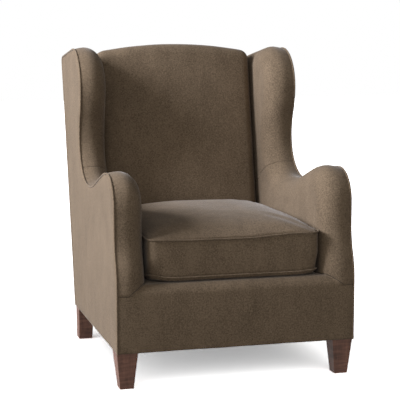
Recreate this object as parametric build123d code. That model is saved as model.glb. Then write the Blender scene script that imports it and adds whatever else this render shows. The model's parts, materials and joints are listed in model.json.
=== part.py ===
from build123d import *
from math import atan2, cos, degrees, radians, sin, sqrt, tan
import os

# A wing armchair, tightly covered, with one loose seat cushion. Millimetres, Z up, front towards -Y.
# Pieces are drawn with Y = 0 on the front face, then moved so that the origin is under the middle.

# Overall sizes
chair_width = 762.0
base_z = 114.0
deck_z = 320.0
base_depth = 720.0
back_rake = 14.45
side_thickness = 97.0

# Side outline: front edge, rolled arm, dip, wing and top edge, walked from the floor upwards
arm_height = 646.0
arm_swell_rise = 11.0
arm_waist_rise = 180.0
arm_recess = 33.0
hump_radius = 98.0
arm_crown_radius = 260.0
arm_slope = 19.0
dip_radius = 260.0
arm_drop = 73.0
dip_flat = 34.0
wing_sweep_radius = 140.0
wing_lean = 11.24
wing_height = 1012.0
wing_top_radius = 133.0
wing_top_slope = 8.3
back_corner_radius = 18.0
inner_round = 62.0

# Seam between wing and arm: its place on the sweep below the wing, and how steeply it falls
wing_seam_angle = 48.0
wing_seam_fall = 29.0

# Covers, welts and clearances
cover_t = 2.5
fit = 0.3
touch = 0.2
welt_radius = 3.0
cushion_welt_radius = 2.5

# Inside back
back_depth = 140.0
inside_rake = 11.7
crest_rise = 14.0
crest_radius = 1500.0
back_crown = 10.0
back_gap = 4.0
back_edge_radius = 34.0
back_top_radius = 28.0
crest_pad = 22.0
back_notch_depth = 40.0

# Timber frame
frame_pad = 22.0
frame_width = 55.0
frame_t = 45.0
liner_t = 5.0
rail_t = 28.0
crest_rail_height = 85.0
lower_rail_lift = 10.0
lower_rail_height = 60.0
wing_post_set_back = 56.0
block_leg = 75.0
block_height = 50.0
block_lift = 30.0
screw_radius = 2.2
screw_head_radius = 4.2
screw_head_t = 3.0
screw_bite = 20.0
screw_offset = 30.0
screw_head_depth = 10.0

# Seat suspension
insulator_t = 3.6
tie_radius = 1.5
tie_count = 2
spring_radius = 1.9
spring_count = 5
spring_pitch_x = 116.0
spring_waves = 18
spring_half_width = 26.0
clip_t = 1.2
clip_width = 12.0
clip_tail = 9.0
clip_lip = 3.0
web_count = 5
web_width = 50.0
web_pitch = 100.0
web_t = 1.6
web_lap = 40.0

# Front border and underside
border_edge_radius = 30.0
arm_base_drop = 1.0
dust_cover_t = 1.0
dust_cover_margin = 6.0

# Legs and their fixings
leg_edge_radius = 1.5
front_leg_top = 66.0
front_leg_bottom = 43.0
front_leg_inset_x = 35.0
front_leg_inset_y = 39.0
rear_leg_top = 53.0
rear_leg_bottom = 47.0
rear_leg_inset_x = 30.0
rear_leg_inset_y = 30.0
rear_leg_kick = 13.0
plate_side = 36.0
plate_t = 2.5
bolt_radius = 4.0
bolt_below = 45.0
bolt_above = 22.0
glide_radius = 10.0
glide_t = 2.0
glide_nail_radius = 1.3
glide_nail_length = 14.0

# Seat cushion: the crown's profile is (share of the way in from the seam, rise) pairs
cushion_front = 25.0
cushion_side_gap = 5.0
cushion_back_gap = 8.0
cushion_corner = 25.0
cushion_draw = 4.0
cushion_under_rise = 15.0
cushion_under_inset = 14.0
cushion_seam_rise = 131.0
crown_flat = 63.8
crown_profile = ((0.04, 14.0), (0.13, 29.0), (0.4, 45.0), (0.71, 52.0), (1.0, 54.0))

# Zipper on the back of the cushion
zip_margin = 43.8
zip_tape_width = 26.0
zip_tape_t = 0.8
zip_coil_width = 5.0
zip_coil_t = 1.8
slider_length = 11.0
slider_plate_t = 1.2
slider_wall = 1.3
slider_end_room = 6.0
stop_length = 3.0

# Places that follow from the sizes above
half_width = chair_width / 2
inner_x = half_width - side_thickness
edge_x = half_width - 2 * welt_radius - touch
panel_x = half_width - cover_t
frame_outer_x = panel_x - touch - liner_t
frame_inner_x = frame_outer_x - frame_t
rear_seat = cover_t + fit
welt_room = welt_radius + touch
arm_base_z = deck_z - border_edge_radius - arm_base_drop
arm_swell_z = arm_base_z + arm_swell_rise
arm_waist_z = arm_swell_z + arm_waist_rise
dip_z = arm_height - arm_drop
wing_bulge_z = wing_height - wing_top_radius
crest_height = wing_height + crest_rise
insulator_top = arm_base_z - fit
tie_z = insulator_top - insulator_t - touch - tie_radius
spring_z = tie_z - tie_radius - touch - spring_radius
rail_top = spring_z - spring_radius - touch - clip_t
border_depth = frame_pad + rail_t
back_rail_rear = base_depth - rear_seat / cos(radians(back_rake))
back_rail_front = back_rail_rear - rail_t
cushion_half = inner_x - cushion_side_gap - 2 * cushion_welt_radius - touch
zip_length = 2 * (cushion_half - zip_margin)
inside_back_y = base_depth + (deck_z - base_z) * tan(radians(back_rake)) - back_depth
crest_ridge_y = inside_back_y + (crest_height - deck_z) * tan(radians(inside_rake)) + back_top_radius
far = 2 * chair_width
upward = (Align.CENTER, Align.CENTER, Align.MIN)


def at(y, z):
    """A point of the Y-Z plane."""
    return Vector(0, y, z)


def swing(rise, shift):
    """Turn and radius of each half of an S curve that climbs by rise and moves over by shift."""
    turn = 2 * atan2(shift, rise)
    return degrees(turn), rise / 2 / sin(turn)


def side_steps():
    """The side outline as (length, turn, radius) steps, turns to the right negative."""
    front_turn, front_radius = swing(arm_waist_rise, arm_recess)
    slope = radians(arm_slope)
    arc_drop = (arm_crown_radius + dip_radius) * (1 - cos(slope))
    slope_length = (arm_drop - arc_drop) / sin(slope)
    wing_rise = wing_bulge_z - dip_z - wing_sweep_radius
    wing_turn, wing_radius = swing(wing_rise, wing_rise * tan(radians(wing_lean)))
    return [
        (0, -front_turn, front_radius),
        (0, front_turn, front_radius),
        (arm_height - hump_radius - arm_waist_z, -90, hump_radius),
        (0, -arm_slope, arm_crown_radius),
        (slope_length, arm_slope, dip_radius),
        (dip_flat, 90, wing_sweep_radius),
        (0, wing_turn, wing_radius),
        (0, -wing_turn, wing_radius),
        (0, -90 - wing_top_slope, wing_top_radius),
    ]


def side_run(inset, bottom):
    """Edges up the front and over the arm and wing, drawn in by inset, with the points they end on."""
    point = at(inset, bottom)
    ends = [at(inset, arm_swell_z)]
    edges = [Line(point, ends[0])]
    point = ends[0]
    heading = 90.0
    for length, turn, radius in side_steps():
        ahead = Vector(0, cos(radians(heading)), sin(radians(heading)))
        if length > 0:
            edges.append(Line(point, point + ahead * length))
            point = point + ahead * length
        side = 1 if turn > 0 else -1
        to_centre = Vector(0, -ahead.Z, ahead.Y) * side
        true_radius = radius + inset * side
        centre = point + to_centre * true_radius
        spoke = point - centre
        middle = centre + spoke.rotate(Axis.X, turn / 2)
        end = centre + spoke.rotate(Axis.X, turn)
        edges.append(ThreePointArc(point, middle, end))
        point = end
        heading += turn
        ends.append(end)
    return edges, ends


def back_y(z, inset=0.0):
    """Y of the raked back, drawn in squarely by inset."""
    return base_depth - inset / cos(radians(back_rake)) + (z - base_z) * tan(radians(back_rake))


def side_edges(inset, rear_inset, bottom):
    """The side outline from the foot of the front edge to the foot of the back edge."""
    edges, ends = side_run(inset, bottom)
    start = ends[-1]
    slope = radians(wing_top_slope)
    ahead = at(cos(slope), -sin(slope))
    rake = tan(radians(back_rake))
    reach = (back_y(start.Z, rear_inset) - start.Y) / (cos(slope) + sin(slope) * rake)
    corner = start + ahead * reach
    foot = at(back_y(bottom, rear_inset), bottom)
    down = (foot - corner).normalized()
    radius = back_corner_radius - max(inset, rear_inset)
    if radius <= 0:
        return edges + [Line(start, corner), Line(corner, foot)]
    turn = radians(ahead.get_angle(down))
    leg = radius * tan(turn / 2)
    first = corner - ahead * leg
    last = corner + down * leg
    centre = first + at(-sin(slope), -cos(slope)) * radius
    middle = centre + (corner - centre).normalized() * radius
    rounding = ThreePointArc(first, middle, last)
    return edges + [Line(start, first), rounding, Line(last, foot)]


def side_slab(inset, rear_inset, bottom, x_from, x_to):
    """The side outline drawn out sideways from x_from to x_to."""
    edges = side_edges(inset, rear_inset, bottom)
    foot = at(back_y(bottom, rear_inset), bottom)
    edges.append(Line(foot, at(inset, bottom)))
    face = Face(Wire(edges))
    return Pos(x_from, 0, 0) * Solid.extrude(face, Vector(x_to - x_from, 0, 0))


def side_form(inset, rear_inset, bottom, x_to):
    """The padded arm and wing as one form, rounded along its inner edge."""
    x_from = inner_x + inset
    slab = side_slab(inset, rear_inset, bottom, x_from, x_to)
    run, _ = side_run(inset, bottom)
    top_line = side_edges(inset, rear_inset, bottom)[len(run)]
    marks = [Vector(x_from, 0, 0) + edge @ 0.5 for edge in run + [top_line]]
    rims = [edge for edge in slab.edges() if any((edge @ 0.5 - mark).length < fit for mark in marks)]
    return slab.fillet(inner_round - inset, rims)


def yz_prism(points, x_from, x_to):
    """A straight-sided outline in the Y-Z plane, drawn out sideways."""
    corners = [at(y, z) for y, z in points]
    face = Face(Wire.make_polygon(corners, close=True))
    return Pos(x_from, 0, 0) * Solid.extrude(face, Vector(x_to - x_from, 0, 0))


def block(x, y, z):
    """A box between the (low, high) pairs given for X, Y and Z."""
    size = Box(x[1] - x[0], y[1] - y[0], z[1] - z[0], align=(Align.MIN, Align.MIN, Align.MIN))
    return Pos(x[0], y[0], z[0]) * size


def back_slab(near, deep, low, high, x):
    """The layer of the raked back between two depths under its outer face, from x[0] to x[1]."""
    points = [
        (back_y(low, deep), low),
        (back_y(low, near), low),
        (back_y(high, near), high),
        (back_y(high, deep), high),
    ]
    return yz_prism(points, x[0], x[1])


def crest_block(inset):
    """Everything under the arched top of the back, drawn in by inset."""
    reach = half_width + far / 4
    start_y = 0.0
    top = crest_height - inset + (crest_ridge_y - start_y) * tan(radians(wing_top_slope))
    drop = crest_radius - sqrt(crest_radius**2 - reach**2)
    left = Vector(-reach, start_y, top - drop)
    right = Vector(reach, start_y, top - drop)
    low_left = Vector(-reach, start_y, 0)
    low_right = Vector(reach, start_y, 0)
    arch = ThreePointArc(left, Vector(0, start_y, top), right)
    face = Face(Wire([arch, Line(right, low_right), Line(low_right, low_left), Line(low_left, left)]))
    slope = radians(wing_top_slope)
    return Solid.extrude(face, Vector(0, cos(slope), -sin(slope)) * far)


def back_form(inset, rear_inset, bottom):
    """The padded inside back: crowned front, rounded sides, arched and rounded top."""
    rake = radians(inside_rake)
    up = Vector(0, sin(rake), cos(rake))
    rearward = Vector(0, cos(rake), -sin(rake))
    plane = Plane(
        origin=Vector(0, inside_back_y, deck_z) + rearward * inset, x_dir=(1, 0, 0), z_dir=up
    )
    half = inner_x - back_gap - inset
    front = ThreePointArc((-half, back_crown), (0, 0), (half, back_crown))
    sides = Polyline((half, back_crown), (half, base_depth), (-half, base_depth), (-half, back_crown))
    section = make_face(front.edges() + sides.edges())
    front_corners = section.vertices().sort_by(Axis.Y)[:2]
    section = fillet(front_corners, back_edge_radius - inset)
    start = plane.offset(-deck_z) * section
    body = Solid.extrude(start.face(), up * far)
    body = body & crest_block(inset)
    body = body & back_slab(rear_inset, base_depth, bottom, far, (-half_width, half_width))
    top = body.faces().sort_by(Axis.Z)[-1]
    rims = top.edges().sort_by(Axis.Y)[:-1]
    return body.solid().fillet(back_top_radius - inset, rims)


def wing_side():
    """All that lies above the seam between wing and arm."""
    angle = radians(wing_seam_angle)
    _, ends = side_run(0, base_z)
    sweep_start = ends[5] + at(dip_flat, 0)
    seam = sweep_start + at(wing_sweep_radius * sin(angle), wing_sweep_radius * (1 - cos(angle)))
    fall = at(cos(radians(wing_seam_fall)), -sin(radians(wing_seam_fall)))
    rise = at(sin(radians(wing_seam_fall)), cos(radians(wing_seam_fall)))
    low = seam - fall * base_depth / 2
    high = seam + fall * base_depth
    points = [low, high, high + rise * far, low + rise * far]
    return yz_prism([(p.Y, p.Z) for p in points], 0, far)


def both_sides(name, solid):
    """The right-hand piece and its mirror image, as two named pieces."""
    return {name + "_right": solid, name + "_left": mirror(solid, about=Plane.YZ)}


def cylinder_z(x, y, z_from, z_to, radius):
    """An upright cylinder."""
    return Pos(x, y, z_from) * Cylinder(radius, z_to - z_from, align=upward)


def leg_places():
    """Name, top centre, bottom centre, top side and bottom side of the two right-hand legs."""
    front_x = half_width - front_leg_inset_x
    rear_x = half_width - rear_leg_inset_x
    front = Vector(front_x, front_leg_inset_y, 0)
    rear = Vector(rear_x, base_depth - rear_leg_inset_y, 0)
    kick = Vector(0, rear_leg_kick, 0)
    return [
        ("front_leg", front, front, front_leg_top, front_leg_bottom),
        ("rear_leg", rear, rear + kick, rear_leg_top, rear_leg_bottom),
    ]


def leg_pieces():
    """Tapered legs, their plates, bolts and glides, on the right-hand side."""
    legs = {}
    plates = []
    bolts = []
    glides = []
    for name, top, foot, top_side, foot_side in leg_places():
        upper = Plane((top.X, top.Y, base_z)) * RectangleRounded(top_side, top_side, leg_edge_radius)
        lower = Plane((foot.X, foot.Y, glide_t)) * RectangleRounded(foot_side, foot_side, leg_edge_radius)
        leg = loft([lower, upper], ruled=True)
        pocket = plate_side + 2 * touch
        leg -= Pos(top.X, top.Y, base_z) * Box(pocket, pocket, 2 * (plate_t + touch))
        leg -= cylinder_z(top.X, top.Y, base_z - bolt_below - touch, base_z, bolt_radius + touch)
        nail_top = glide_t + glide_nail_length
        leg -= cylinder_z(foot.X, foot.Y, 0, nail_top + touch, glide_nail_radius + touch)
        legs[name] = leg
        plate = Pos(top.X, top.Y, base_z - plate_t / 2) * Box(plate_side, plate_side, plate_t)
        plates.append(plate - cylinder_z(top.X, top.Y, 0, 2 * base_z, bolt_radius + touch))
        bolts.append(cylinder_z(top.X, top.Y, base_z - bolt_below, base_z + bolt_above, bolt_radius))
        nail = cylinder_z(foot.X, foot.Y, 0, nail_top, glide_nail_radius)
        glides.append(cylinder_z(foot.X, foot.Y, 0, glide_t, glide_radius) + nail)
    return legs, plates, bolts, glides


def post_holes():
    """The drillings above the legs that take the ends of the leg bolts."""
    depth = bolt_above + touch
    return [
        cylinder_z(top.X, top.Y, base_z, base_z + depth, bolt_radius + touch)
        for _, top, _, _, _ in leg_places()
    ]


def corner_bracing():
    """Corner blocks with their screws, and the cutters for the screw holes, on the right-hand side."""
    blocks = []
    screws = []
    holes = []
    low = base_z + block_lift
    for corner_y, way in ((border_depth, 1), (back_rail_front, -1)):
        corner = Vector(frame_inner_x, corner_y, low)
        points = [corner, corner - Vector(block_leg, 0, 0), corner + Vector(0, way * block_leg, 0)]
        wedge = Solid.extrude(Face(Wire.make_polygon(points, close=True)), Vector(0, 0, block_height))
        into_rail = Vector(0, -way, 0)
        into_side = Vector(1, 0, 0)
        seats = [
            (corner + Vector(-screw_offset, 0, block_height / 3), into_rail),
            (corner + Vector(0, way * screw_offset, 2 * block_height / 3), into_side),
        ]
        for seat, drive in seats:
            head_back = block_leg - screw_offset - screw_head_depth
            plane = Plane(seat + drive * screw_bite, z_dir=-drive)
            shank_length = screw_bite + head_back
            shank = plane * Cylinder(screw_radius, shank_length, align=upward)
            head_plane = plane.offset(shank_length)
            head = head_plane * Cylinder(screw_head_radius, screw_head_t, align=upward)
            screws.append(shank + head)
            hole_length = shank_length + 2 * touch
            hole = plane.offset(-touch) * Cylinder(screw_radius + touch, hole_length, align=upward)
            sink = head_plane.offset(-touch) * Cylinder(screw_head_radius + touch, block_leg, align=upward)
            wedge = wedge - hole - sink
            holes.append(hole)
        blocks.append(wedge)
    return blocks, screws, holes


def seat_spring(x, y_from, y_to):
    """One sinuous spring: cross bars joined by half turns."""
    pitch = (y_to - y_from) / spring_waves
    bar = spring_half_width - spring_radius - pitch / 2
    edges = []
    side = 1
    for k in range(spring_waves + 1):
        y = y_from + k * pitch
        here = Vector(x - side * bar, y, spring_z)
        there = Vector(x + side * bar, y, spring_z)
        edges.append(Line(here, there))
        if k < spring_waves:
            outer = Vector(x + side * (bar + pitch / 2), y + pitch / 2, spring_z)
            edges.append(ThreePointArc(there, outer, there + Vector(0, pitch, 0)))
        side = -side
    path = Wire(edges)
    section = Plane(path @ 0, z_dir=path % 0) * Circle(spring_radius)
    return sweep(section, path=path)


def spring_clip(x, y, inward):
    """A folded clip, closed towards the seat, that holds the end bar of a spring down on its rail."""
    room = spring_radius + touch
    wall = y + inward * room
    outer_wall = wall + inward * clip_t
    tail = y - inward * clip_tail
    lip = y - inward * clip_lip
    low = rail_top
    floor = low + clip_t
    roof = floor + 2 * room
    points = [
        (tail, low),
        (outer_wall, low),
        (outer_wall, roof + clip_t),
        (lip, roof + clip_t),
        (lip, roof),
        (wall, roof),
        (wall, floor),
        (tail, floor),
    ]
    return yz_prism(points, x - clip_width / 2, x + clip_width / 2)


def border_form(inset, rear, bottom, x):
    """The front border: a flat face with a rounded top edge."""
    top = deck_z - inset
    radius = border_edge_radius - inset
    centre = at(inset + radius, top - radius)
    bend = centre + at(-radius, radius) * (1 / sqrt(2))
    edges = [
        Line(at(inset, bottom), at(inset, top - radius)),
        ThreePointArc(at(inset, top - radius), bend, at(inset + radius, top)),
        Line(at(inset + radius, top), at(rear, top)),
        Line(at(rear, top), at(rear, bottom)),
        Line(at(rear, bottom), at(inset, bottom)),
    ]
    return Pos(-x, 0, 0) * Solid.extrude(Face(Wire(edges)), Vector(2 * x, 0, 0))


def cushion_back(z):
    """Y of the back of the cushion, which leans with the inside back."""
    return inside_back_y + (z - deck_z) * tan(radians(inside_rake)) - cushion_back_gap


def drawn_side(centre, radius, reach, draw):
    """Where a round corner meets a drawn-in side that runs along X, seen from the middle of that side.

    centre is the corner's own (along, depth), reach its distance from the side's middle.
    """
    side_radius = (reach**2 - 2 * radius * draw + draw**2) / (2 * draw)
    side_centre = centre[1] - radius + draw - side_radius
    share = radius / (side_radius + radius)
    return centre[0] - reach * share, centre[1] + (side_centre - centre[1]) * share


def cushion_ring(z, inset):
    """The cushion's plan outline at height z: round corners, front and sides drawn in, straight back."""
    half = cushion_half - inset
    front = cushion_front + inset
    rear = cushion_back(z) - inset
    corner = cushion_corner - min(inset, 0)
    middle = (front + rear) / 2
    centre_x = half - corner
    low_y = front + corner
    high_y = rear - corner
    reach = middle - low_y
    front_x, front_y = drawn_side((centre_x, low_y), corner, centre_x, cushion_draw)
    side_y, side_depth = drawn_side((reach, corner), corner, reach, cushion_draw)
    side_x = half - side_depth
    front_bend = (Vector(front_x - centre_x, front_y - low_y) + Vector(corner, 0)).normalized() * corner
    rear_bend = Vector(1, 1).normalized() * corner

    def point(x, y):
        return Vector(x, y, z)

    right = [
        (point(front_x, front_y), point(centre_x, low_y) + front_bend, point(side_x, middle - side_y)),
        (point(side_x, middle - side_y), point(half - cushion_draw, middle), point(side_x, middle + side_y)),
        (point(side_x, middle + side_y), point(centre_x, high_y) + rear_bend, point(centre_x, rear)),
    ]
    left = [tuple(Vector(-p.X, p.Y, p.Z) for p in reversed(arc)) for arc in reversed(right)]
    front_arc = (left[-1][-1], point(0, front + cushion_draw), right[0][0])
    edges = [ThreePointArc(*arc) for arc in [front_arc] + right]
    edges.append(Line(right[-1][-1], left[0][0]))
    return edges + [ThreePointArc(*arc) for arc in left]


def cushion_face(z, inset):
    """The plan outline of the cushion as a face."""
    return Face(Wire(cushion_ring(z, inset)))


def cushion_crown(inset):
    """The domed upper part of the cushion, drawn in by inset."""
    seam_z = deck_z + cushion_seam_rise
    faces = [cushion_face(seam_z, inset)]
    for share, rise in crown_profile:
        run = share * (cushion_half - crown_flat)
        faces.append(cushion_face(seam_z + rise - inset, run + inset))
    return loft(faces)


def cushion_body(inset):
    """The boxed middle of the cushion, drawn in by inset."""
    low = cushion_face(deck_z + cushion_under_rise, inset)
    high = cushion_face(deck_z + cushion_seam_rise, inset)
    return loft([low, high], ruled=True)


def cushion_underside(inset):
    """The part of the cushion that curls under, drawn in by inset."""
    low = cushion_face(deck_z + fit + inset, cushion_under_inset + inset)
    high = cushion_face(deck_z + cushion_under_rise, inset)
    return loft([low, high], ruled=True)


def cushion_welt(rise):
    """A cord sewn round the cushion at one of its seams."""
    path = Wire(cushion_ring(deck_z + rise, -cushion_welt_radius - touch))
    section = Plane(path @ 0, z_dir=path % 0) * Circle(cushion_welt_radius)
    return sweep(section, path=path)


def cushion_pieces():
    """Core, cover panels and welts of the loose cushion."""
    core_inset = cover_t + fit
    core = cushion_underside(core_inset) + cushion_body(core_inset) + cushion_crown(core_inset)
    return {
        "cushion_core": core,
        "cushion_top_panel": cushion_crown(0) - cushion_crown(cover_t),
        "cushion_boxing": cushion_body(0) - cushion_body(cover_t),
        "cushion_bottom_panel": cushion_underside(0) - cushion_underside(cover_t),
        "cushion_welts": [cushion_welt(cushion_under_rise), cushion_welt(cushion_seam_rise)],
    }


def zipper_pieces():
    """Zip chain across the back of the cushion, and its slider at the closed end."""
    rake = radians(inside_rake)
    outward = Vector(0, cos(rake), -sin(rake))
    middle_z = deck_z + (cushion_under_rise + cushion_seam_rise) / 2
    seat = Vector(0, cushion_back(middle_z), middle_z) + outward * touch
    plane = Plane(seat, x_dir=(1, 0, 0), z_dir=outward)
    tape = plane * Box(zip_length, zip_tape_width, zip_tape_t, align=upward)
    on_tape = plane.offset(zip_tape_t)
    chain = tape + on_tape * Box(zip_length, zip_coil_width, zip_coil_t, align=upward)
    slider_height = zip_coil_t + fit + slider_plate_t
    for end in (-1, 1):
        place = Pos(end * (zip_length - stop_length) / 2, 0, 0)
        chain += on_tape * place * Box(stop_length, zip_coil_width, slider_height, align=upward)
    tunnel = zip_coil_width + 2 * fit
    outer = tunnel + 2 * slider_wall
    shell = Pos(0, 0, fit) * Box(slider_length, outer, slider_height - fit, align=upward)
    groove = Box(slider_length, tunnel, zip_coil_t + fit, align=upward)
    closed_end = Pos(slider_length / 2 + stop_length + slider_end_room - zip_length / 2, 0, 0)
    slider = on_tape * closed_end * (shell - groove)
    return {"zipper_chain": chain, "zipper_slider": slider}


def frame_pieces():
    """The timber frame: posts, rails and their bracing."""
    width = (frame_inner_x, frame_outer_x)
    deep = frame_pad + frame_width
    outer = side_slab(frame_pad, rear_seat, base_z, *width)
    window = side_slab(deep, rear_seat, base_z, *width)
    ring = outer - window
    post_zone = back_slab(rear_seat, rear_seat + frame_width, 0, far, width)
    front_hole, rear_hole = post_holes()
    blocks, screws, holes = corner_bracing()
    _, ends = side_run(0, base_z)
    hump_y = ends[3].Y
    sweep_y = ends[5].Y + dip_flat
    back_post = (outer & post_zone) - rear_hole
    arm_post = (ring & block(width, (0, hump_y), (0, far))) - front_hole
    side_rail = (outer & block(width, (deep, far), (base_z, rail_top))) - post_zone
    curved_rail = ring & block(width, (hump_y, sweep_y), (dip_z - far, far))
    straight_rail = block(width, (sweep_y, far), (dip_z - deep, dip_z - frame_pad))
    arm_rail = curved_rail + ((straight_rail & outer) - post_zone)
    wing_room = (dip_z - frame_pad, wing_bulge_z)
    wing_post = (ring - post_zone) & block(width, (sweep_y + wing_post_set_back, far), wing_room)
    wing_rail = (ring - post_zone) & block(width, (0, far), (wing_bulge_z, far))
    for hole in holes:
        side_rail = side_rail - hole
    between = (-frame_inner_x, frame_inner_x)
    front_rail = block(between, (frame_pad, border_depth), (base_z, rail_top))
    back_rail = block(between, (back_rail_front, back_rail_rear), (base_z, rail_top))
    for hole in holes:
        for cut in (hole, mirror(hole, about=Plane.YZ)):
            front_rail = front_rail - cut
            back_rail = back_rail - cut
    pieces = {
        "front_rail": front_rail,
        "back_rail": back_rail,
        "crest_rail": crest_rail(0),
        "lower_back_rail": lower_back_rail(0),
        "corner_blocks": blocks + [mirror(b, about=Plane.YZ) for b in blocks],
        "corner_screws": screws + [mirror(s, about=Plane.YZ) for s in screws],
    }
    sides = {
        "back_post": back_post,
        "arm_post": arm_post,
        "side_rail": side_rail,
        "arm_rail": arm_rail,
        "wing_post": wing_post,
        "wing_rail": wing_rail,
        "side_liner": side_slab(frame_pad, welt_room, base_z, frame_outer_x, panel_x - touch),
    }
    for name, solid in sides.items():
        pieces.update(both_sides(name, solid))
    return pieces


def crest_rail(room):
    """The arched top rail of the back, grown by room all round."""
    low = crest_height - crest_pad - crest_rail_height - room
    x = frame_inner_x
    layer = back_slab(rear_seat - room, rear_seat + rail_t + room, low, far, (-x, x))
    return layer & crest_block(crest_pad - room)


def lower_back_rail(room):
    """The tacking rail of the back above the seat, grown by room all round."""
    low = deck_z + lower_rail_lift
    high = low + lower_rail_height
    x = frame_inner_x
    depths = (rear_seat - room, rear_seat + rail_t + room)
    return back_slab(*depths, low - room, high + room, (-x, x))


def side_upholstery():
    """Pads, covers, outside panel and welt of one side."""
    wing = wing_side()
    outer = side_form(0, rear_seat, arm_base_z, edge_x)
    hollow = side_form(cover_t, rear_seat - cover_t * 2, arm_base_z - cover_t, half_width)
    rails = crest_rail(fit) + lower_back_rail(fit)
    cover = outer - hollow - rails
    filling = side_form(cover_t + fit, rear_seat, arm_base_z, edge_x)
    pocket = side_slab(frame_pad - fit, rear_seat - cover_t * 2, base_z, frame_inner_x - fit, half_width)
    pad = filling - pocket - rails
    panel = side_slab(welt_room, welt_room, base_z, panel_x, half_width)
    path = Pos(half_width - welt_radius, 0, 0) * Wire(side_edges(0, 0, base_z))
    section = Plane(path @ 0, z_dir=path % 0) * Circle(welt_radius)
    return {
        "inside_arm_cover": cover - wing,
        "inside_wing_cover": cover & wing,
        "arm_pad": pad - wing,
        "wing_pad": pad & wing,
        "outside_panel": panel,
        "side_welt": sweep(section, path=path),
    }


def back_upholstery():
    """Pad, cover, webbing and outside panel of the back."""
    bottom = deck_z + fit
    hollow = back_form(cover_t, rear_seat - cover_t * 2, bottom - cover_t)
    cover = back_form(0, rear_seat, bottom) - hollow - crest_rail(fit) - lower_back_rail(fit)
    filling = back_form(cover_t + fit, rear_seat, bottom)
    pocket_depth = rear_seat + rail_t + touch + web_t + fit
    open_back = back_slab(-cover_t, pocket_depth, base_z, far, (-half_width, half_width))
    pad = filling - (open_back & crest_block(crest_pad - fit))
    web_low = deck_z + lower_rail_lift + lower_rail_height - web_lap
    web_high = crest_height - crest_pad - crest_rail_height + web_lap
    web_near = rear_seat + rail_t + touch
    straps = []
    for k in range(web_count):
        x = (k - (web_count - 1) / 2) * web_pitch
        reach = (x - web_width / 2, x + web_width / 2)
        straps.append(back_slab(web_near, web_near + web_t, web_low, web_high, reach))
    side = side_form(0, 0, arm_base_z, edge_x)
    notch_z = wing_height - inner_round - back_notch_depth
    whole = block((-edge_x, edge_x), (0, far), (base_z, notch_z))
    shape = whole + side + mirror(side, about=Plane.YZ) + back_form(0, 0, bottom)
    sheet = shape & back_slab(0, cover_t, base_z, far, (-edge_x, edge_x))
    return {
        "inside_back_cover": cover,
        "back_pad": pad,
        "back_webbing": straps,
        "outside_back_panel": sheet,
    }


def seat_pieces():
    """Springs, deck, front border and underside."""
    first_y = frame_pad + rail_t / 2
    last_y = back_rail_rear - rail_t / 2
    springs = []
    clips = []
    for k in range(spring_count):
        x = (k - (spring_count - 1) / 2) * spring_pitch_x
        springs.append(seat_spring(x, first_y, last_y))
        clips.append(spring_clip(x, first_y, 1))
        clips.append(spring_clip(x, last_y, -1))
    ties = []
    for k in range(tie_count):
        y = first_y + (k + 1) * (last_y - first_y) / (tie_count + 1)
        start = Plane((-frame_inner_x + fit, y, tie_z), z_dir=(1, 0, 0))
        ties.append(start * Cylinder(tie_radius, 2 * (frame_inner_x - fit), align=upward))
    under_arms = (fit - frame_inner_x, frame_inner_x - fit)
    insulator = block(under_arms, (frame_pad, back_rail_rear), (insulator_top - insulator_t, insulator_top))
    deck_x = (fit - inner_x, inner_x - fit)
    deck_y = (border_depth + touch, back_rail_rear)
    deck_pad = block(deck_x, deck_y, (insulator_top + touch, deck_z - cover_t))
    deck_cover = block(deck_x, deck_y, (deck_z - cover_t, deck_z))
    arm = side_form(-fit, rear_seat, arm_base_z - fit, half_width)
    arms = arm + mirror(arm, about=Plane.YZ)
    border = border_form(0, border_depth, base_z, edge_x)
    inner_border = border_form(cover_t, far, base_z - cover_t, half_width)
    filling = border_form(cover_t + fit, border_depth, base_z, edge_x)
    timber = block((-half_width, half_width), (frame_pad - fit, far), (0, insulator_top + touch))
    sheet_x = frame_outer_x - dust_cover_margin
    sheet_y = (frame_pad + dust_cover_margin, back_rail_rear - dust_cover_margin)
    dust_cover = block((-sheet_x, sheet_x), sheet_y, (base_z - dust_cover_t, base_z))
    for _, top, _, top_side, _ in leg_places():
        room = top_side + 2 * fit
        for side in (-1, 1):
            dust_cover -= Pos(side * top.X, top.Y, base_z) * Box(room, room, 3 * dust_cover_t)
    return {
        "seat_springs": springs,
        "spring_clips": clips,
        "tie_wires": ties,
        "deck_insulator": insulator,
        "deck_pad": deck_pad,
        "deck_cover": deck_cover,
        "front_border_cover": border - inner_border - arms,
        "front_border_pad": filling - timber - arms,
        "dust_cover": dust_cover,
    }


def chair_pieces():
    """Every piece of the chair by name."""
    pieces = frame_pieces()
    pieces.update(seat_pieces())
    pieces.update(back_upholstery())
    pieces.update(cushion_pieces())
    pieces.update(zipper_pieces())
    for name, solid in side_upholstery().items():
        pieces.update(both_sides(name, solid))
    legs, plates, bolts, glides = leg_pieces()
    for name, solid in legs.items():
        pieces.update(both_sides(name, solid))
    for name, group in (("leg_plates", plates), ("leg_bolts", bolts), ("leg_glides", glides)):
        pieces[name] = group + [mirror(solid, about=Plane.YZ) for solid in group]
    return pieces


def save(pieces):
    """Write each piece to its own file, with the origin on the floor under the middle of the chair."""
    os.makedirs("parts", exist_ok=True)
    front = pieces["side_welt_right"].bounding_box().min.Y
    rear = pieces["outside_back_panel"].bounding_box().max.Y
    middle = (front + rear) / 2
    for name, shape in pieces.items():
        group = shape if isinstance(shape, list) else [shape]
        solids = [Pos(0, -middle, 0) * solid for item in group for solid in item.solids()]
        export_step(solids[0] if len(solids) == 1 else Compound(solids), f"parts/{name}.step")


save(chair_pieces())
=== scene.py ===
"""The looks of the wing armchair: covers, piping, cushion, materials, light and camera, in metres."""

import json
import math
from collections import Counter
from contextlib import contextmanager
from functools import reduce

import bmesh
import bpy
import numpy as np
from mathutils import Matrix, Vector, bvhtree, geometry, kdtree, noise


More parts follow.
